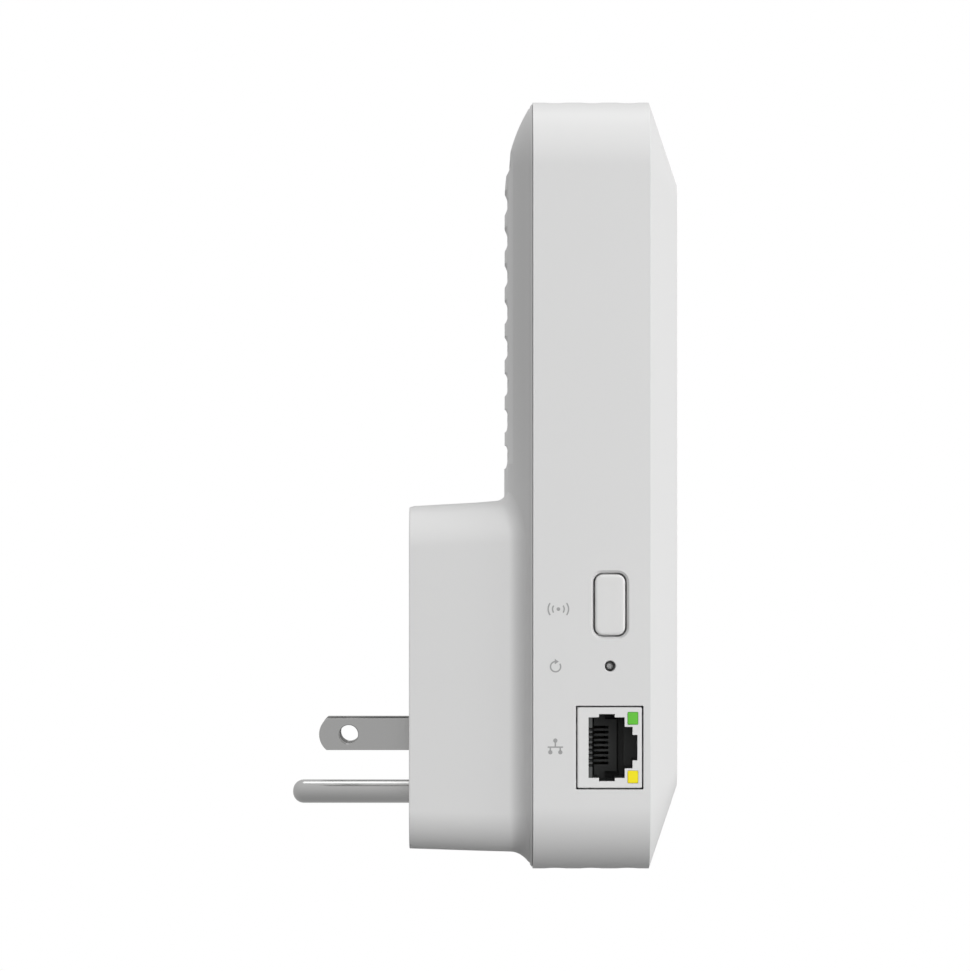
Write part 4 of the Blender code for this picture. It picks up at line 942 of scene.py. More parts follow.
@dataclass
class FrontShell:
    """Side walls and faceted front, with the openings for the controls."""

    body: Body
    vents: Vents
    facet: float = 16.0
    panel_corner: float = 4.0
    lip: float = 1.15
    lip_depth: float = 2.6
    edge: float = 0.3
    button: tuple[Pair, Pair, float] = ((39.55, 27.0), (6.6, 12.6), 1.9)
    button_rim: tuple[Pair, ...] = ((-0.6, 0.95), (0.0, 0.95), (0.05, 0.84), (0.5, 0.08), (0.56, 0))
    reset: tuple[Pair, float] = ((39.55, 14.95), 1.05)
    reset_rim: tuple[Pair, ...] = ((-0.6, 0.14), (0.0, 0.14), (0.08, 0.05), (0.2, 0.0))
    socket: tuple[Pair, Pair] = ((39.47, -1.05), (13.24, 16.44))
    socket_rim: tuple[Pair, ...] = ((-0.6, 0.1), (0.0, 0.1), (0.06, 0.0))
    indicators: tuple[float, ...] = (20.0, 28.0, 36.0, 44.0)
    indicator_hole: float = 1.15

    def _panel(self, depth: float, trim: float) -> Thing:
        """The outline of the front's flat panel."""
        body, inset = self.body, 2 * (self.facet + trim)
        size = (body.width - inset, body.height - inset)
        corner = self.panel_corner - trim * 0.5
        return Bench.loop(Facing.DEEP, (0.0, depth, body.middle), size, corner, body.steps)

    def build(self) -> Thing:
        """Makes the shell and cuts its vents and openings."""
        body = self.body
        outline = (
            (body.side_edge - 0.7, body.wall),
            (body.seam + self.lip_depth, body.wall),
            (body.seam + self.lip_depth, self.lip),
            (body.seam, self.lip),
            (body.seam, 0.0),
            (body.side_edge, 0.0),
        )
        loops = [
            self._panel(body.front - body.wall - 0.1, 0.7),
            *(body.loop(depth, inset) for depth, inset in outline),
            self._panel(body.front, 0.0),
        ]
        shell = Bench.loft("front_housing", loops)
        Bench.soften(shell, self.edge, 3, 15.0)
        for tool in self.vents.end_flute_tools():
            Bench.boolean(shell, tool)
        Bench.boolean(shell, self.vents.end_slot_tools())
        Bench.boolean(shell, self._control_tools())
        Bench.boolean(shell, self._indicator_tools())
        Bench.finish(shell)
        Finishes.SHELL.dress(shell)
        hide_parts("front_shell")
        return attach(shell, "housing")

    def _control_tools(self) -> Thing:
        """Cutters for the button, the reset hole and the socket, each with a soft rim."""
        side, way = self.body.side, Facing.ACROSS
        through = ((self.body.wall + 0.5, 0.0),)
        place, size, corner = self.button
        rim = self.button_rim + through
        button = Bench.stack("button_tool", way, (side, *place), size, corner, rim, 10)
        place, radius = self.reset
        rim = [(into, radius + grow) for into, grow in self.reset_rim + through]
        reset = Bench.turned("reset_tool", way, (side, *place), rim)
        place, size = self.socket
        rim = self.socket_rim + through
        socket = Bench.stack("socket_tool", way, (side, *place), size, 0.2, rim, 4, 0.0)
        return Bench.merge("control_tools", [button, reset, socket])

    def _indicator_tools(self) -> Thing:
        """Holes for the four light guides."""
        start = self.body.front - 4.0
        tools = [
            Bench.rod("hole", (0.0, start, z), 5.0, self.indicator_hole) for z in self.indicators
        ]
        return Bench.merge("indicator_tools", tools)


@dataclass
class RearShell:
    """Dished back, grown into the plug block by a fillet."""

    body: Body
    vents: Vents
    half_width: float = 34.9
    top: float = 46.1
    bottom: float = -21.7
    corner: float = 8.0
    side_draft: float = 0.045
    top_draft: float = 0.056
    bottom_draft: float = 0.03
    fillet: float = 2.4
    fillet_steps: int = 8
    dish_steps: int = 16
    block_wall: float = 2.4
    ledge: float = 0.8
    plate: float = 2.4
    rim_gap: float = 0.08
    rim_inset: float = 0.3
    inner_insets: tuple[float, ...] = (18.0, 14.0, 10.0, 6.5, 2.9)
    nearest_seam: float = 1.4

    def block_loop(
        self, depth: float, grow: float = 0.0, draft_depth: float | None = None
    ) -> Thing:
        """The block's drafted outline at one depth.

        Args:
            depth: Where the loop lies.
            grow: How far it is spread beyond the block's wall.
            draft_depth: The depth whose draft it has, where that is another one.

        Returns:
            The loop.
        """
        along = depth if draft_depth is None else draft_depth
        half = self.half_width + self.side_draft * along + grow
        top = self.top + self.top_draft * along + grow
        bottom = self.bottom - self.bottom_draft * along - grow
        return Bench.loop(
            Facing.DEEP,
            (0.0, depth, (top + bottom) / 2),
            (2 * half, top - bottom),
            max(self.corner + grow, 1.0),
            self.body.steps,
        )

    def _drape(self, loop: Thing, offset: float) -> Thing:
        """Lays a loop at an offset from the dished back, clear of the seam."""
        body = self.body
        half_width = body.width / 2 - self.nearest_seam
        low = body.middle - body.height / 2 + self.nearest_seam
        for vert in loop.data.vertices:
            x, z = vert.co.x / MM, vert.co.z / MM
            x = max(-half_width, min(half_width, x))
            z = max(low, z)
            z += max(self.nearest_seam - body.inset(x, z), 0.0)
            vert.co = at(x, body.rear_depth(body.inset(x, z)) + offset, z)
        return loop

    def _block(self) -> Thing:
        """The block's outside, from its end rim to a foot buried in the back's wall."""
        root, buried = self.body.rear, self.body.wall / 2
        rim = ((0.0, -0.16), (0.03, -0.06), (0.14, 0.0))
        loops = [self.block_loop(depth, grow, 0.0) for depth, grow in rim]
        loops += [self.block_loop(0.35), self.block_loop(root * 0.7)]
        for step in range(self.fillet_steps + 1):
            turn = QUARTER * step / self.fillet_steps
            grow = self.fillet * (1 - math.cos(turn))
            lift = -self.fillet * (1 - math.sin(turn)) + 0.03 * math.sin(turn)
            loops.append(self._drape(self.block_loop(root, grow), lift))
        for grow in (0.0, -self.block_wall - 1.2):
            loops.append(self._drape(self.block_loop(root, grow), buried))
        return Bench.loft("block", loops)

    def _cavity(self) -> Thing:
        """The block's inside, with a ledge for the end plate."""
        seat, wall = self.plate + 0.2, self.block_wall
        mouth = -(wall - self.ledge)
        steps = [(-1.0, mouth + 0.1), (0.12, mouth + 0.1), (0.22, mouth)]
        steps += [(seat, mouth), (seat, -wall)]
        loops = [self.block_loop(depth, grow, 0.0) for depth, grow in steps]
        loops.append(self.block_loop(26.0, -wall, 10.0))
        return Bench.loft("cavity", loops)

    def build(self) -> Thing:
        """Makes the dish, welds the block on and cuts the flutes and slots."""
        body, edge = self.body, self.rim_inset
        seam, rim, reach = body.seam, body.seam - self.rim_gap, body.rear_curve
        outline = [(body.rear_depth(inset) + body.wall, inset) for inset in self.inner_insets]
        outline += [(seam + 0.9, 2.4), (seam + 2.3, 2.4), (seam + 2.3, 1.35), (rim, 1.35)]
        outline += [(rim, edge + 0.06), (rim - 0.06, edge)]
        outline += [(rim - 0.42, edge + 0.44), (rim - 0.32, edge + 0.66)]
        outline.append((body.rear_depth(1.25) + 0.2, 1.15))
        for step in range(self.dish_steps + 1):
            inset = 1.3 + (reach - 1.3) * step / self.dish_steps
            outline.append((body.rear_depth(inset), inset))
        loops = [body.loop(depth, inset) for depth, inset in outline]
        shell = Bench.loft("rear_housing", loops)
        Bench.boolean(shell, self._block(), "UNION")
        Bench.boolean(shell, self._cavity())
        Bench.boolean(shell, self.vents.crown_tool())
        Bench.boolean(shell, self.vents.rear_flute_tools())
        Bench.boolean(shell, self.vents.rear_slot_tools())
        Bench.finish(shell)
        Finishes.SHELL.dress(shell)
        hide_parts("rear_shell")
        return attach(shell, "housing")


@dataclass
class Plug:
    """End plate, rating label, two blades and the earth pin."""

    rear: RearShell
    spacing: float = 12.7
    blade_width: float = 6.35
    blade_thickness: float = 1.52
    blade_length: float = 18.6
    tip_sagitta: float = 1.5
    tip_steps: int = 24
    hole_radius: float = 1.89
    hole_rim: tuple[Pair, ...] = ((-1.0, 0.12), (0.0, 0.12), (0.12, 0.0))
    hole_from_tip: float = 6.0
    tail: float = 7.5
    pin_radius: float = 2.39
    pin_length: float = 24.12
    pin_drop: float = 11.89
    pin_steps: int = 12
    collar: tuple[Place, Place] = ((-11.5, 1.7, -16.4), (11.5, 6.0, 4.6))
    bore_gap: float = 0.1
    label_half: Pair = (26.0, 10.0)
    label_middle: float = 28.0
    label_recess: float = 0.3
    label_margin: float = 0.4

    def build(self) -> list[Thing]:
        """Makes every piece of the plug."""
        return [
            self._plate(),
            self._label(),
            self._blade("neutral_blade", -1),
            self._blade("line_blade", 1),
            self._pin(),
        ]

    def _plate(self) -> Thing:
        """The end plate, with the prongs' bores and the label's recess."""
        rear, way = self.rear, Facing.DEEP
        margin = -(rear.block_wall - rear.ledge) - 0.2
        steps = ((rear.plate, 0.0), (0.18, 0.0), (0.05, -0.06), (0.0, -0.2))
        loops = [rear.block_loop(depth, margin + trim, 0.0) for depth, trim in steps]
        plate = Bench.loft("end_plate", loops)
        Bench.boolean(plate, Bench.soften(Bench.box("collar", *self.collar), 0.6), "UNION")
        tools = []
        size = (self.blade_thickness + 2 * self.bore_gap, self.blade_width + 2 * self.bore_gap)
        for x in (-self.spacing / 2, self.spacing / 2):
            rim = ((-0.2, 0.8), (0.2, 0.0), (7.0, 0.0))
            tools.append(Bench.stack("blade_bore", way, (x, 0.0, 0.0), size, 0.1, rim, 3, 0.0))
        bore = self.pin_radius + self.bore_gap
        rim = ((-0.2, bore + 0.4), (0.2, bore), (7.0, bore))
        tools.append(Bench.turned("pin_bore", way, (0.0, 0.0, -self.pin_drop), rim))
        size = tuple(2 * (half + self.label_margin) for half in self.label_half)
        middle = (0.0, 0.0, self.label_middle)
        rim = ((-1.0, 0.0), (self.label_recess, 0.0))
        tools.append(Bench.stack("label_tool", way, middle, size, 1.9, rim, 8))
        Bench.boolean(plate, Bench.merge("plate_tools", tools))
        Bench.finish(plate)
        Finishes.BLOCK.dress(plate)
        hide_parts("plug_plate")
        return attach(plate, "housing")

    def _label(self) -> Thing:
        """A blank foil label with rounded corners."""
        size = (2 * self.label_half[0], 2 * self.label_half[1])
        middle = (0.0, 0.0, self.label_middle)
        rim = ((0.25, 0.0), (0.15, 0.0), (0.12, -0.08))
        label = Bench.stack("foil_label", Facing.DEEP, middle, size, 1.5, rim, 8, 0.0)
        Bench.finish(label)
        Finishes.LABEL.dress(label)
        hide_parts("rating_label")
        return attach(label, "housing")

    def _blade(self, node: str, side: int) -> Thing:
        """A blade with a curved tip, coined edges and a countersunk hole.

        Args:
            node: The frame node that it stands for.
            side: -1 or 1, the side of the middle that it stands on.

        Returns:
            The blade.
        """
        x = side * self.spacing / 2
        half_width, half_thick = self.blade_width / 2, self.blade_thickness / 2
        sagitta = self.tip_sagitta
        radius = (half_width**2 + sagitta**2) / (2 * sagitta)
        swing = math.asin(half_width / radius)
        outline: list[Place] = [(x - half_thick, self.tail, half_width)]
        for step in range(self.tip_steps + 1):
            turn = swing * (1 - 2 * step / self.tip_steps)
            depth = -self.blade_length + radius * (1 - math.cos(turn))
            outline.append((x - half_thick, depth, radius * math.sin(turn)))
        outline.append((x - half_thick, self.tail, -half_width))
        blade = Bench.trace(node + "_plated", outline, (self.blade_thickness, 0.0, 0.0))
        rim = [(half_thick - into, self.hole_radius + grow) for into, grow in self.hole_rim]
        stations = [(-along, ring) for along, ring in rim] + rim[::-1]
        middle = (x, -self.blade_length + self.hole_from_tip, 0.0)
        Bench.soften(blade, 0.08, 2, 40.0)
        Bench.boolean(blade, Bench.turned("hole_tool", Facing.ACROSS, middle, stations, 40))
        Bench.finish(blade)
        Finishes.PRONG.dress(blade)
        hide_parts(node)
        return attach(blade, "housing")

    def _pin(self) -> Thing:
        """The earth pin, drawn to a bullet tip."""
        tip, radius = -self.pin_length, self.pin_radius
        profile = [(self.tail, radius)]
        for step in range(self.pin_steps):
            turn = QUARTER * step / self.pin_steps
            depth = tip + radius * (1 - math.sin(turn)) * 0.95
            profile.append((depth, max(radius * math.cos(turn) ** 0.9, 0.05)))
        middle = (0.0, 0.0, -self.pin_drop)
        pin = Bench.finish(Bench.turned("earth_pin_plated", Facing.DEEP, middle, profile))
        Finishes.PRONG.dress(pin)
        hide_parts("ground_pin")
        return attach(pin, "housing")


@dataclass
class Controls:
    """Pairing button, the two switch stems and the marks printed beside them."""

    body: Body
    depth: float = 39.55
    button_z: float = 27.0
    button_size: Pair = (5.9, 11.9)
    button_corner: float = 1.55
    button_stem_half: float = 1.3
    proud: float = 0.25
    roll: tuple[Pair, ...] = ((0, -1.24), (0.02, -0.8), (0.09, -0.34), (0.22, -0.08), (0.38, 0))
    flange_gap: float = 1.0
    flange: Pair = (0.6, 1.6)
    pairing_tip: float = -35.9
    reset_z: float = 14.95
    reset_tip: float = -38.3
    socket_z: float = -1.05
    stem_root: float = -34.5
    stem_radius: float = 1.6
    nose_length: float = 0.45
    ink: float = 0.02
    line: float = 0.28

    def build(self) -> list[Thing]:
        """Makes the button, the stems and the printed marks."""
        return [
            self._button(),
            self._stem("pairing_plunger", self.button_z, self.pairing_tip, 1.2, 0.5),
            self._stem("reset_plunger", self.reset_z, self.reset_tip, 0.68, 1.6),
            self._mark("mark_pair", self._pair_shapes(29.4, self.button_z - 0.85)),
            self._mark("mark_restart", self._restart_shapes(28.85, self.reset_z - 0.1)),
            self._mark("mark_network", self._network_shapes(28.8, self.socket_z + 0.25)),
        ]

    def _button(self) -> Thing:
        """The cap with its rolled rim, captive flange and stem."""
        outside = self.body.side - self.proud
        flange = self.body.side + self.body.wall + self.flange_gap
        thick, spread = self.flange
        stations = [(outside + into, grow) for into, grow in self.roll]
        stations += [(flange, 0.0), (flange, spread), (flange + thick, spread)]
        middle, corner = (0.0, self.depth, self.button_z), self.button_corner
        cap = Bench.stack(
            "pairing_cap", Facing.ACROSS, middle, self.button_size, corner, stations, 10
        )
        half = self.button_stem_half
        stem = Bench.box(
            "stem",
            (flange + 0.4, self.depth - half, self.button_z - half),
            (self.pairing_tip - 0.05, self.depth + half, self.button_z + half),
        )
        Bench.boolean(cap, stem, "UNION")
        Bench.finish(cap)
        Finishes.BUTTON.dress(cap)
        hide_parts("pairing_button")
        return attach(cap, "pairing_button")

    def _stem(self, node: str, z: float, tip: float, nose: float, back: float) -> Thing:
        """A switch's stem: a domed nose on a thicker shaft.

        Args:
            node: The frame node that it stands for, and the body that it rides on.
            z: Its height.
            tip: Where its nose ends, across the body.
            nose: The nose's radius.
            back: How far behind the tip the shaft begins.

        Returns:
            The stem.
        """
        wide, shoulder = self.stem_radius, tip + back
        profile = [(self.stem_root, wide), (shoulder + 0.15, wide)]
        profile += [(shoulder, wide - 0.15), (shoulder - 0.05, nose)]
        for step in range(9):
            turn = QUARTER * step / 8
            along = tip + self.nose_length * (1 - math.sin(turn))
            profile.append((along, max(nose * math.cos(turn), 0.06)))
        stem = Bench.turned(node + "_stem", Facing.ACROSS, (0.0, self.depth, z), profile)
        Bench.finish(stem)
        Finishes.STEM.dress(stem)
        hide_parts(node)
        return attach(stem, node)

    def _mark(self, name: str, outlines: list[list[Pair]]) -> Thing:
        """Prints a mark on the side wall as one thin layer of ink.

        Args:
            name: The mark's name.
            outlines: Its shapes, each as (depth, z) points.

        Returns:
            The mark.
        """
        outside, thickness = self.body.side - self.ink, (2 * self.ink, 0.0, 0.0)
        parts = [
            Bench.trace(name, [(outside, *point) for point in outline], thickness)
            for outline in outlines
        ]
        mark = Bench.merge(name, parts)
        Bench.finish(mark)
        Finishes.PRINT.dress(mark)
        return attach(mark, "housing")

    @staticmethod
    def _round(centre: Pair, radius: float, turns: Sequence[float]) -> list[Pair]:
        """Points of a circle at the given turns."""
        return [
            (centre[0] + radius * math.cos(turn), centre[1] + radius * math.sin(turn))
            for turn in turns
        ]

    def _arc(self, centre: Pair, radius: float, start: float, end: float) -> list[Pair]:
        """A stroke along a circle; the angles are in degrees."""
        steps = max(4, int(abs(end - start) / 10))
        turns = [math.radians(start + (end - start) * i / steps) for i in range(steps + 1)]
        half = self.line / 2
        outer = self._round(centre, radius + half, turns)
        return outer + self._round(centre, radius - half, turns)[::-1]

    def _disc(self, centre: Pair, radius: float) -> list[Pair]:
        """A filled circle."""
        return self._round(centre, radius, [2 * math.pi * step / 20 for step in range(20)])

    @staticmethod
    def _bar(low: Pair, high: Pair) -> list[Pair]:
        """A rectangle between two corners."""
        return [low, (high[0], low[1]), high, (low[0], high[1])]

    def _pair_shapes(self, depth: float, z: float) -> list[list[Pair]]:
        """A dot with two waves on each side."""
        shapes = [self._disc((depth, z), 0.36)]
        for radius in (1.15, 2.0):
            for middle in (0.0, 180.0):
                shapes.append(self._arc((depth, z), radius, middle - 36, middle + 36))
        return shapes

    def _restart_shapes(self, depth: float, z: float) -> list[list[Pair]]:
        """An open circle that ends in an arrowhead."""
        radius = 1.0
        tip = (depth + 0.62, z + radius)
        head = [tip, (tip[0] - 0.78, tip[1] + 0.54), (tip[0] - 0.78, tip[1] - 0.54)]
        return [self._arc((depth, z), radius, 95, 395), head]

    def _network_shapes(self, depth: float, z: float) -> list[list[Pair]]:
        """One node above a bus line and two below it."""
        half, dot, off = self.line / 2, 0.42, 1.15
        shapes = [
            self._disc((depth, z + off), dot),
            self._bar((depth - half, z), (depth + half, z + 0.8)),
            self._bar((depth - 1.5, z - self.line), (depth + 1.5, z)),
        ]
        for middle in (depth - 0.98, depth + 0.98):
            shapes.append(self._bar((middle - half, z - 0.85), (middle + half, z - self.line)))
            shapes.append(self._disc((middle, z - off), dot))
        return shapes


@dataclass
class CableSocket:
    """Screened cable socket: screen, moulded insert, eight contacts and two lamps."""

    face: float = -39.8
    depth: float = 39.47
    z: float = -1.05
    width: float = 12.7
    height: float = 15.9
    length: float = 18.0
    sheet: float = 0.35
    port_height: float = 11.9
    port_deep: float = 12.8
    floor: float = -4.15
    ceiling: float = 2.95
    notch: tuple[float, float, float] = (-2.1, 1.0, 0.64)
    latch: tuple[Pair, Pair] = ((4.5, 4.08), (5.45, 2.5))
    contacts: int = 8
    pitch: float = 1.016
    wire: float = 0.36
    slot: float = 0.58
    pivot: Pair = (3.0, -4.85)
    tip: Pair = (12.4, -0.7)
    comb: float = 10.4
    comb_top: float = -0.3
    lamp_off: float = 5.75
    lamp_depths: Pair = (3.5, 5.6)
    lamp_half: float = 1.25
    lamp_gap: float = 0.02

    def build(self) -> list[Thing]:
        """Makes every piece of the socket."""
        pieces = [self._screen(), self._insert()]
        for number, z in enumerate(self._contact_places(), 1):
            pieces.append(self._contact(number, z))
        pieces.append(self._lamp("socket_lamp_green", 1, Finishes.GREEN))
        pieces.append(self._lamp("socket_lamp_yellow", -1, Finishes.YELLOW))
        return pieces

    def _contact_places(self) -> list[float]:
        """The contacts' heights from the socket's middle."""
        middle = (self.contacts - 1) / 2
        return [(number - middle) * self.pitch for number in range(self.contacts)]

    def _port_tool(self, grow: float, length: float) -> Thing:
        """The stepped port: main hall, side notches, latch step and key step.

        Args:
            grow: How far it is spread beyond the port's wall.
            length: How far it reaches, from 1 mm in front of the face.

        Returns:
            The port's outline, extruded into the socket.
        """
        half = self.port_height / 2 + grow
        low, high, deep = self.notch
        (latch, latch_half), (key, key_half) = self.latch
        upper = [
            (self.floor - grow, half),
            (low - grow, half),
            (low - grow, half + deep),
            (high + grow, half + deep),
            (high + grow, half),
            (self.ceiling + grow, half),
            (self.ceiling + grow, latch_half + grow),
            (latch + grow, latch_half + grow),
            (latch + grow, key_half + grow),
            (key + grow, key_half + grow),
        ]
        outline = upper + [(depth, -z) for depth, z in reversed(upper)]
        points = [(self.face - 1.0, self.depth + depth, self.z + z) for depth, z in outline]
        return Bench.trace("port", points, (length, 0.0, 0.0))

    def _box(self, name: str, x: Pair, depth: Pair, z: Pair) -> Thing:
        """A box given from the socket's own middle and face."""
        low, high = (
            (self.face + x[end], self.depth + depth[end], self.z + z[end]) for end in (0, 1)
        )
        return Bench.box(name, low, high)

    def _lamp_box(self, side: int, x: Pair, gap: float) -> Thing:
        """The space of one lamp, drawn in by a gap."""
        low, high = self.lamp_depths
        middle, half = side * self.lamp_off, self.lamp_half - gap
        return self._box("lamp", x, (low + gap, high - gap), (middle - half, middle + half))

    def _shell_box(self, name: str, x: Pair, inset: float) -> Thing:
        """A box with the socket's outline, drawn in by an inset."""
        wide, tall = self.width / 2 - inset, self.height / 2 - inset
        return self._box(name, x, (-wide, wide), (-tall, tall))

    def _screen(self) -> Thing:
        """Folded sheet with bent corners, the port and the lamps' windows punched out."""
        sheet = self.sheet
        screen = self._shell_box("socket_screen", (0.0, self.length), 0.0)
        Bench.soften(screen, 0.3, 4)
        Bench.boolean(screen, self._shell_box("hollow", (sheet, self.length + 1), sheet))
        Bench.boolean(screen, self._port_tool(0.0, 3.0))
        lamps = [self._lamp_box(side, (-1.0, 2.0), -self.lamp_gap) for side in (1, -1)]
        lamps = [Bench.soften(lamp, 0.22, 3) for lamp in lamps]
        Bench.boolean(screen, Bench.merge("lamp_windows", lamps))
        Bench.finish(screen, 35.0)
        Finishes.SCREEN.dress(screen)
        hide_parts("socket_shield")
        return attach(screen, "housing")

    def _insert(self) -> Thing:
        """The moulding: port, comb for the contacts, side ledges and lamp tunnels."""
        floor, comb = self.floor, self.comb
        clear = self.sheet + 0.1
        insert = self._shell_box("socket_moulding", (clear, self.length - 0.4), clear)
        Bench.boolean(insert, self._port_tool(0.03, comb + 1.0))
        half = self.port_height / 2 - 0.05
        hall, ledge_span = (-half, half), (-half - 0.3, half + 0.3)
        ledge = self._box("ledge", (0.5, 1.9), (floor - 0.2, floor + 0.75), ledge_span)
        Bench.boolean(insert, ledge, "UNION")
        start, end = comb - 0.5, self.port_deep
        back, notch = (start, end + 0.8), (-0.75, 2.2)
        row = self.pitch * self.contacts / 2
        cuts = [
            ("deep", (start, end), (1.95, self.ceiling), hall),
            ("line", (start, end + 1.2), (1.6, 1.95), hall),
            ("groove", (start, comb + 1.6), (floor + 0.9, floor + 1.3), hall),
            ("notch", back, notch, (half - 0.75, half + 0.6)),
            ("notch", back, notch, (-half - 0.6, -half + 0.75)),
            ("channel", (1.9, comb), (floor - 1.4, floor + 0.5), (-row, row)),
        ]
        for z in self._contact_places():
            sides = (z - self.slot / 2, z + self.slot / 2)
            cuts.append(("slot", (start, end + 1.2), (floor - 0.95, self.comb_top + 0.3), sides))
            cuts.append(("slit", (0.2, 2.0), (floor - 1.0, floor + 1.0), sides))
        tools = [self._box(*cut) for cut in cuts]
        for tool in tools:
            Bench.boolean(insert, tool)
        for side in (1, -1):
            Bench.boolean(insert, self._lamp_box(side, (-1.0, 9.0), 0.0))
        Bench.finish(insert, 25.0)
        Finishes.INSERT.dress(insert)
        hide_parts("socket_insert")
        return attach(insert, "housing")

    def _contact(self, number: int, z: float) -> Thing:
        """A round spring wire, sloping up from its pivot near the mouth into the comb.

        Args:
            number: The contact's number, from 1.
            z: Its height from the socket's middle.

        Returns:
            The wire.
        """
        run, rise = self.tip[0] - self.pivot[0], self.tip[1] - self.pivot[1]
        length, radius = math.hypot(rise, run), self.wire / 2
        bpy.ops.object.select_all(action="DESELECT")
        bpy.ops.mesh.primitive_cylinder_add(
            vertices=16, radius=radius * MM, depth=length * MM, rotation=(0.0, QUARTER, 0.0)
        )
        wire = Bench.settle(bpy.context.object)
        Bench.soften(wire, radius * 0.7, 3, 60.0)
        wire.location = at(length / 2, 0.0, 0.0)
        Bench.settle(wire)
        wire.rotation_euler = (0.0, 0.0, -math.atan2(rise, run))
        wire.location = at(self.face + self.pivot[0], self.depth + self.pivot[1], self.z + z)
        Bench.settle(wire)
        wire.name = wire.data.name = f"contact_wire_{number}"
        Bench.finish(wire)
        # The dark contact finish is painted shade for the depth of the port.
        Finishes.SHADED_CONTACT.dress(wire)
        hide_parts(f"socket_contact_{number}")
        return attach(wire, "socket_contacts")

    def _lamp(self, node: str, side: int, finish: Finish) -> Thing:
        """A light guide with a slightly rounded face.

        Args:
            node: The frame node that it stands for.
            side: -1 or 1, below or above the socket's middle.
            finish: Its finish.

        Returns:
            The light guide.
        """
        lamp = self._lamp_box(side, (0.02, 8.8), self.lamp_gap)
        Bench.soften(lamp, 0.24, 4)
        lamp.name = lamp.data.name = node + "_guide"
        Bench.finish(lamp)
        finish.dress(lamp)
        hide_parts(node)
        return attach(lamp, "housing")


@dataclass
class Indicators:
    """The light guide behind the front: four domed rods on one bar."""

    body: Body
    places: tuple[float, ...] = (20.0, 28.0, 36.0, 44.0)
    radius: float = 1.0
    rod_start: float = 37.6
    bar_half: float = 1.7
    bar_depths: Pair = (48.6, 50.2)
    bar_end: float = 2.5

    def build(self) -> Thing:
        """Makes the bar and welds the rods on."""
        (near, far), half = self.bar_depths, self.bar_half
        low, high = self.places[0] - self.bar_end, self.places[-1] + self.bar_end
        bar = Bench.box("indicator_guide", (-half, near, low), (half, far, high))
        Bench.soften(bar, 0.3)
        length = self.body.front - self.rod_start - 0.1
        for z in self.places:
            rod = Bench.rod("rod", (0.0, self.rod_start, z), length, self.radius)
            Bench.boolean(bar, Bench.soften(rod, 0.12, 3, 60.0), "UNION")
        Bench.finish(bar)
        Finishes.CLEAR.dress(bar)
        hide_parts("light_pipe")
        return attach(bar, "housing")


class Internals:
    """Boards and components, which keep the frame's own shapes and get their finishes."""

    @staticmethod
    def dress(frame: dict) -> int:
        """Finishes each frame node that is still shown, by the name of its material slot.


        Returns:
            How many nodes were finished.
        """
        finishes = {each.name: each for each in vars(Finishes).values() if isinstance(each, Finish)}
        slots = {part["node"]: part["material_slot"] for part in frame["record"]["subparts"]}
        shown = [(node, obj) for node, obj in frame["nodes"].items() if not obj.hide_render]
        for node, obj in shown:
            finishes[slots[node]].dress(obj)
        return len(shown)


# ---------------------------------------------------------------- studio


@dataclass(frozen=True)
class Dome:
    """Brightness of the surroundings: a level, and what the front and the top add to it."""

    level: float
    front: float
    up: float
    least: float = 0.02


@dataclass(frozen=True)
class SoftBox:
    """An area light, placed in metres."""

    name: str
    place: tuple[float, float, float]
    size: float
    power: float
    reflected: bool = True


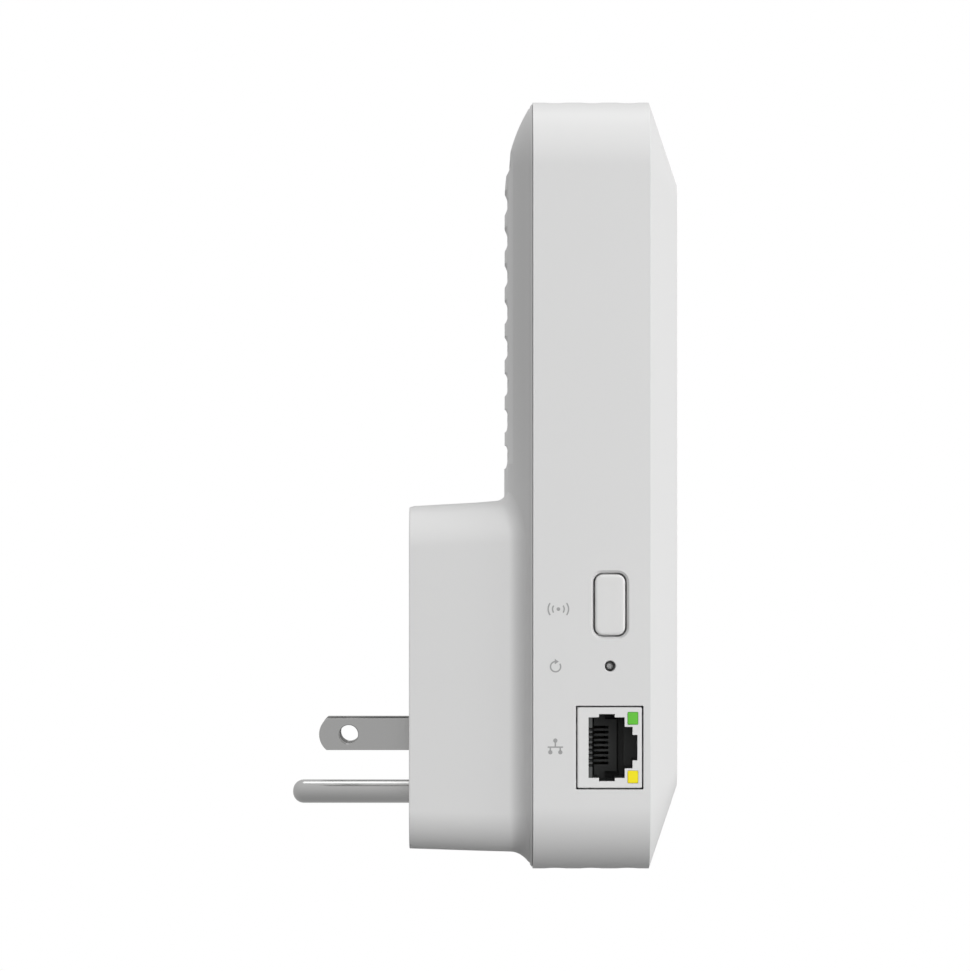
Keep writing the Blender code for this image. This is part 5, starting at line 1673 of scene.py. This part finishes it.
@dataclass
class Studio:
    """Floor, soft light and camera."""

    body: Body
    dome: Dome = Dome(0.655, 0.18, 0.22)
    reflected_dome: Dome = Dome(0.66, 0.0, 0.2, 0.3)
    lamps: tuple[SoftBox, ...] = (
        SoftBox("key", (-1.23, -0.875, 0.02), 0.6, 12.2, reflected=False),
        SoftBox("front", (-0.46, -1.42, 0.36), 0.7, 3.2, reflected=False),
        SoftBox("overhead", (0.2, -0.1, 1.3), 0.5, 1.4),
    )
    camera_distance: float = 1.071
    focal_length: float = 194.8
    aim_depth: float = 15.0
    lamp_depth: float = 30.0
    floor_drop: float = 0.2
    floor_size: float = 6.0
    floor_tone: float = 0.12

    def build(self) -> None:
        """Sets the whole studio up."""
        self._world()
        self._floor()
        self._lights()
        self._camera()
        scene = bpy.context.scene
        scene.view_settings.view_transform = "Standard"
        scene.view_settings.look = "None"

    def _world(self) -> None:
        """White behind the object, and a dome that is brighter in front and above."""
        world = bpy.data.worlds.new("studio_world")
        bpy.context.scene.world = world
        world.use_nodes = True
        world.node_tree.nodes.clear()
        net = Net(world.node_tree)
        path = net.add("LightPath").outputs
        diffuse, glossy = (self._dome(net, dome) for dome in (self.dome, self.reflected_dome))
        unseen = net.add("MixShader", {"Fac": path["Is Glossy Ray"], 1: diffuse, 2: glossy})
        seen = net.add("Background", {"Color": WHITE}).outputs["Background"]
        feeds = {"Fac": path["Is Camera Ray"], 1: unseen.outputs["Shader"], 2: seen}
        whole = net.add("MixShader", feeds)
        net.add("OutputWorld", {"Surface": whole.outputs["Shader"]})

    @staticmethod
    def _dome(net: Net, dome: Dome) -> bpy.types.NodeSocket:
        """Adds a background whose strength changes with direction."""
        way = net.add("TexCoord").outputs["Generated"]
        feeds = {0: way, 1: (0.0, -dome.front, dome.up)}
        lean = net.add("VectorMath", feeds, operation="DOT_PRODUCT").outputs["Value"]
        lift = net.add("Math", {0: lean, 1: dome.level}).outputs["Value"]
        clamp = net.add("Math", {0: lift, 1: dome.least}, operation="MAXIMUM")
        feeds = {"Color": WHITE, "Strength": clamp.outputs["Value"]}
        return net.add("Background", feeds).outputs["Background"]

    def _floor(self) -> None:
        """A wide floor that looks white and throws little light back up."""
        bpy.ops.object.select_all(action="DESELECT")
        level = (self.body.middle - self.body.height / 2) * MM - self.floor_drop
        bpy.ops.mesh.primitive_plane_add(size=self.floor_size, location=(0.0, 0.0, level))
        floor = bpy.context.object
        floor.name = "floor"
        paint = bpy.data.materials.new("floor_paint")
        paint.use_nodes = True
        net, nodes = Net(paint.node_tree), paint.node_tree.nodes
        shader = nodes["Principled BSDF"]
        tone = (self.floor_tone, self.floor_tone, self.floor_tone, 1.0)
        net.feed(shader, {"Base Color": tone, "Roughness": 1.0, "Specular IOR Level": 0.0})
        pale = net.add("Emission", {"Color": WHITE}).outputs["Emission"]
        seen = net.add("LightPath").outputs["Is Camera Ray"]
        mix = net.add("MixShader", {"Fac": seen, 1: shader.outputs["BSDF"], 2: pale})
        net.feed(nodes["Material Output"], {"Surface": mix.outputs["Shader"]})
        floor.data.materials.append(paint)
        floor.visible_glossy = False

    def _lights(self) -> None:
        """A key light from the front of the controls' side, a fill and a box overhead."""
        middle = at(0.0, self.lamp_depth, self.body.middle)
        for lamp in self.lamps:
            light = bpy.data.lights.new(lamp.name, "AREA")
            light.shape = "SQUARE"
            light.size = lamp.size
            light.energy = lamp.power
            obj = bpy.data.objects.new(lamp.name, light)
            obj.location = lamp.place
            aim = middle - Vector(lamp.place)
            obj.rotation_euler = aim.to_track_quat("-Z", "Y").to_euler()
            obj.visible_glossy = lamp.reflected
            bpy.context.scene.collection.objects.link(obj)

    def _camera(self) -> None:
        """A long lens that looks square at the side with the controls."""
        bpy.ops.object.camera_add(
            location=at(-self.camera_distance / MM, self.aim_depth, self.body.middle),
            rotation=(QUARTER, 0.0, -QUARTER),
        )
        camera = bpy.context.object
        camera.data.lens = self.focal_length
        camera.data.sensor_width = 36.0
        camera.data.clip_start = 0.01
        bpy.context.scene.camera = camera


def main() -> None:
    """Builds the object piece by piece and logs each piece that it makes."""
    logging.basicConfig(level=logging.INFO, format="%(name)s: %(message)s")
    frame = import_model()
    body = Body()
    vents = Vents(body)
    rear = RearShell(body, vents)
    Studio(body).build()
    LOG.info("made %s", FrontShell(body, vents).build().name)
    LOG.info("made %s", rear.build().name)
    for assembly in (Plug(rear), Controls(body), CableSocket()):
        for piece in assembly.build():
            LOG.info("made %s", piece.name)
    LOG.info("made %s", Indicators(body).build().name)
    LOG.info("finished %d inner parts", Internals.dress(frame))


if __name__ == "__main__":
    main()
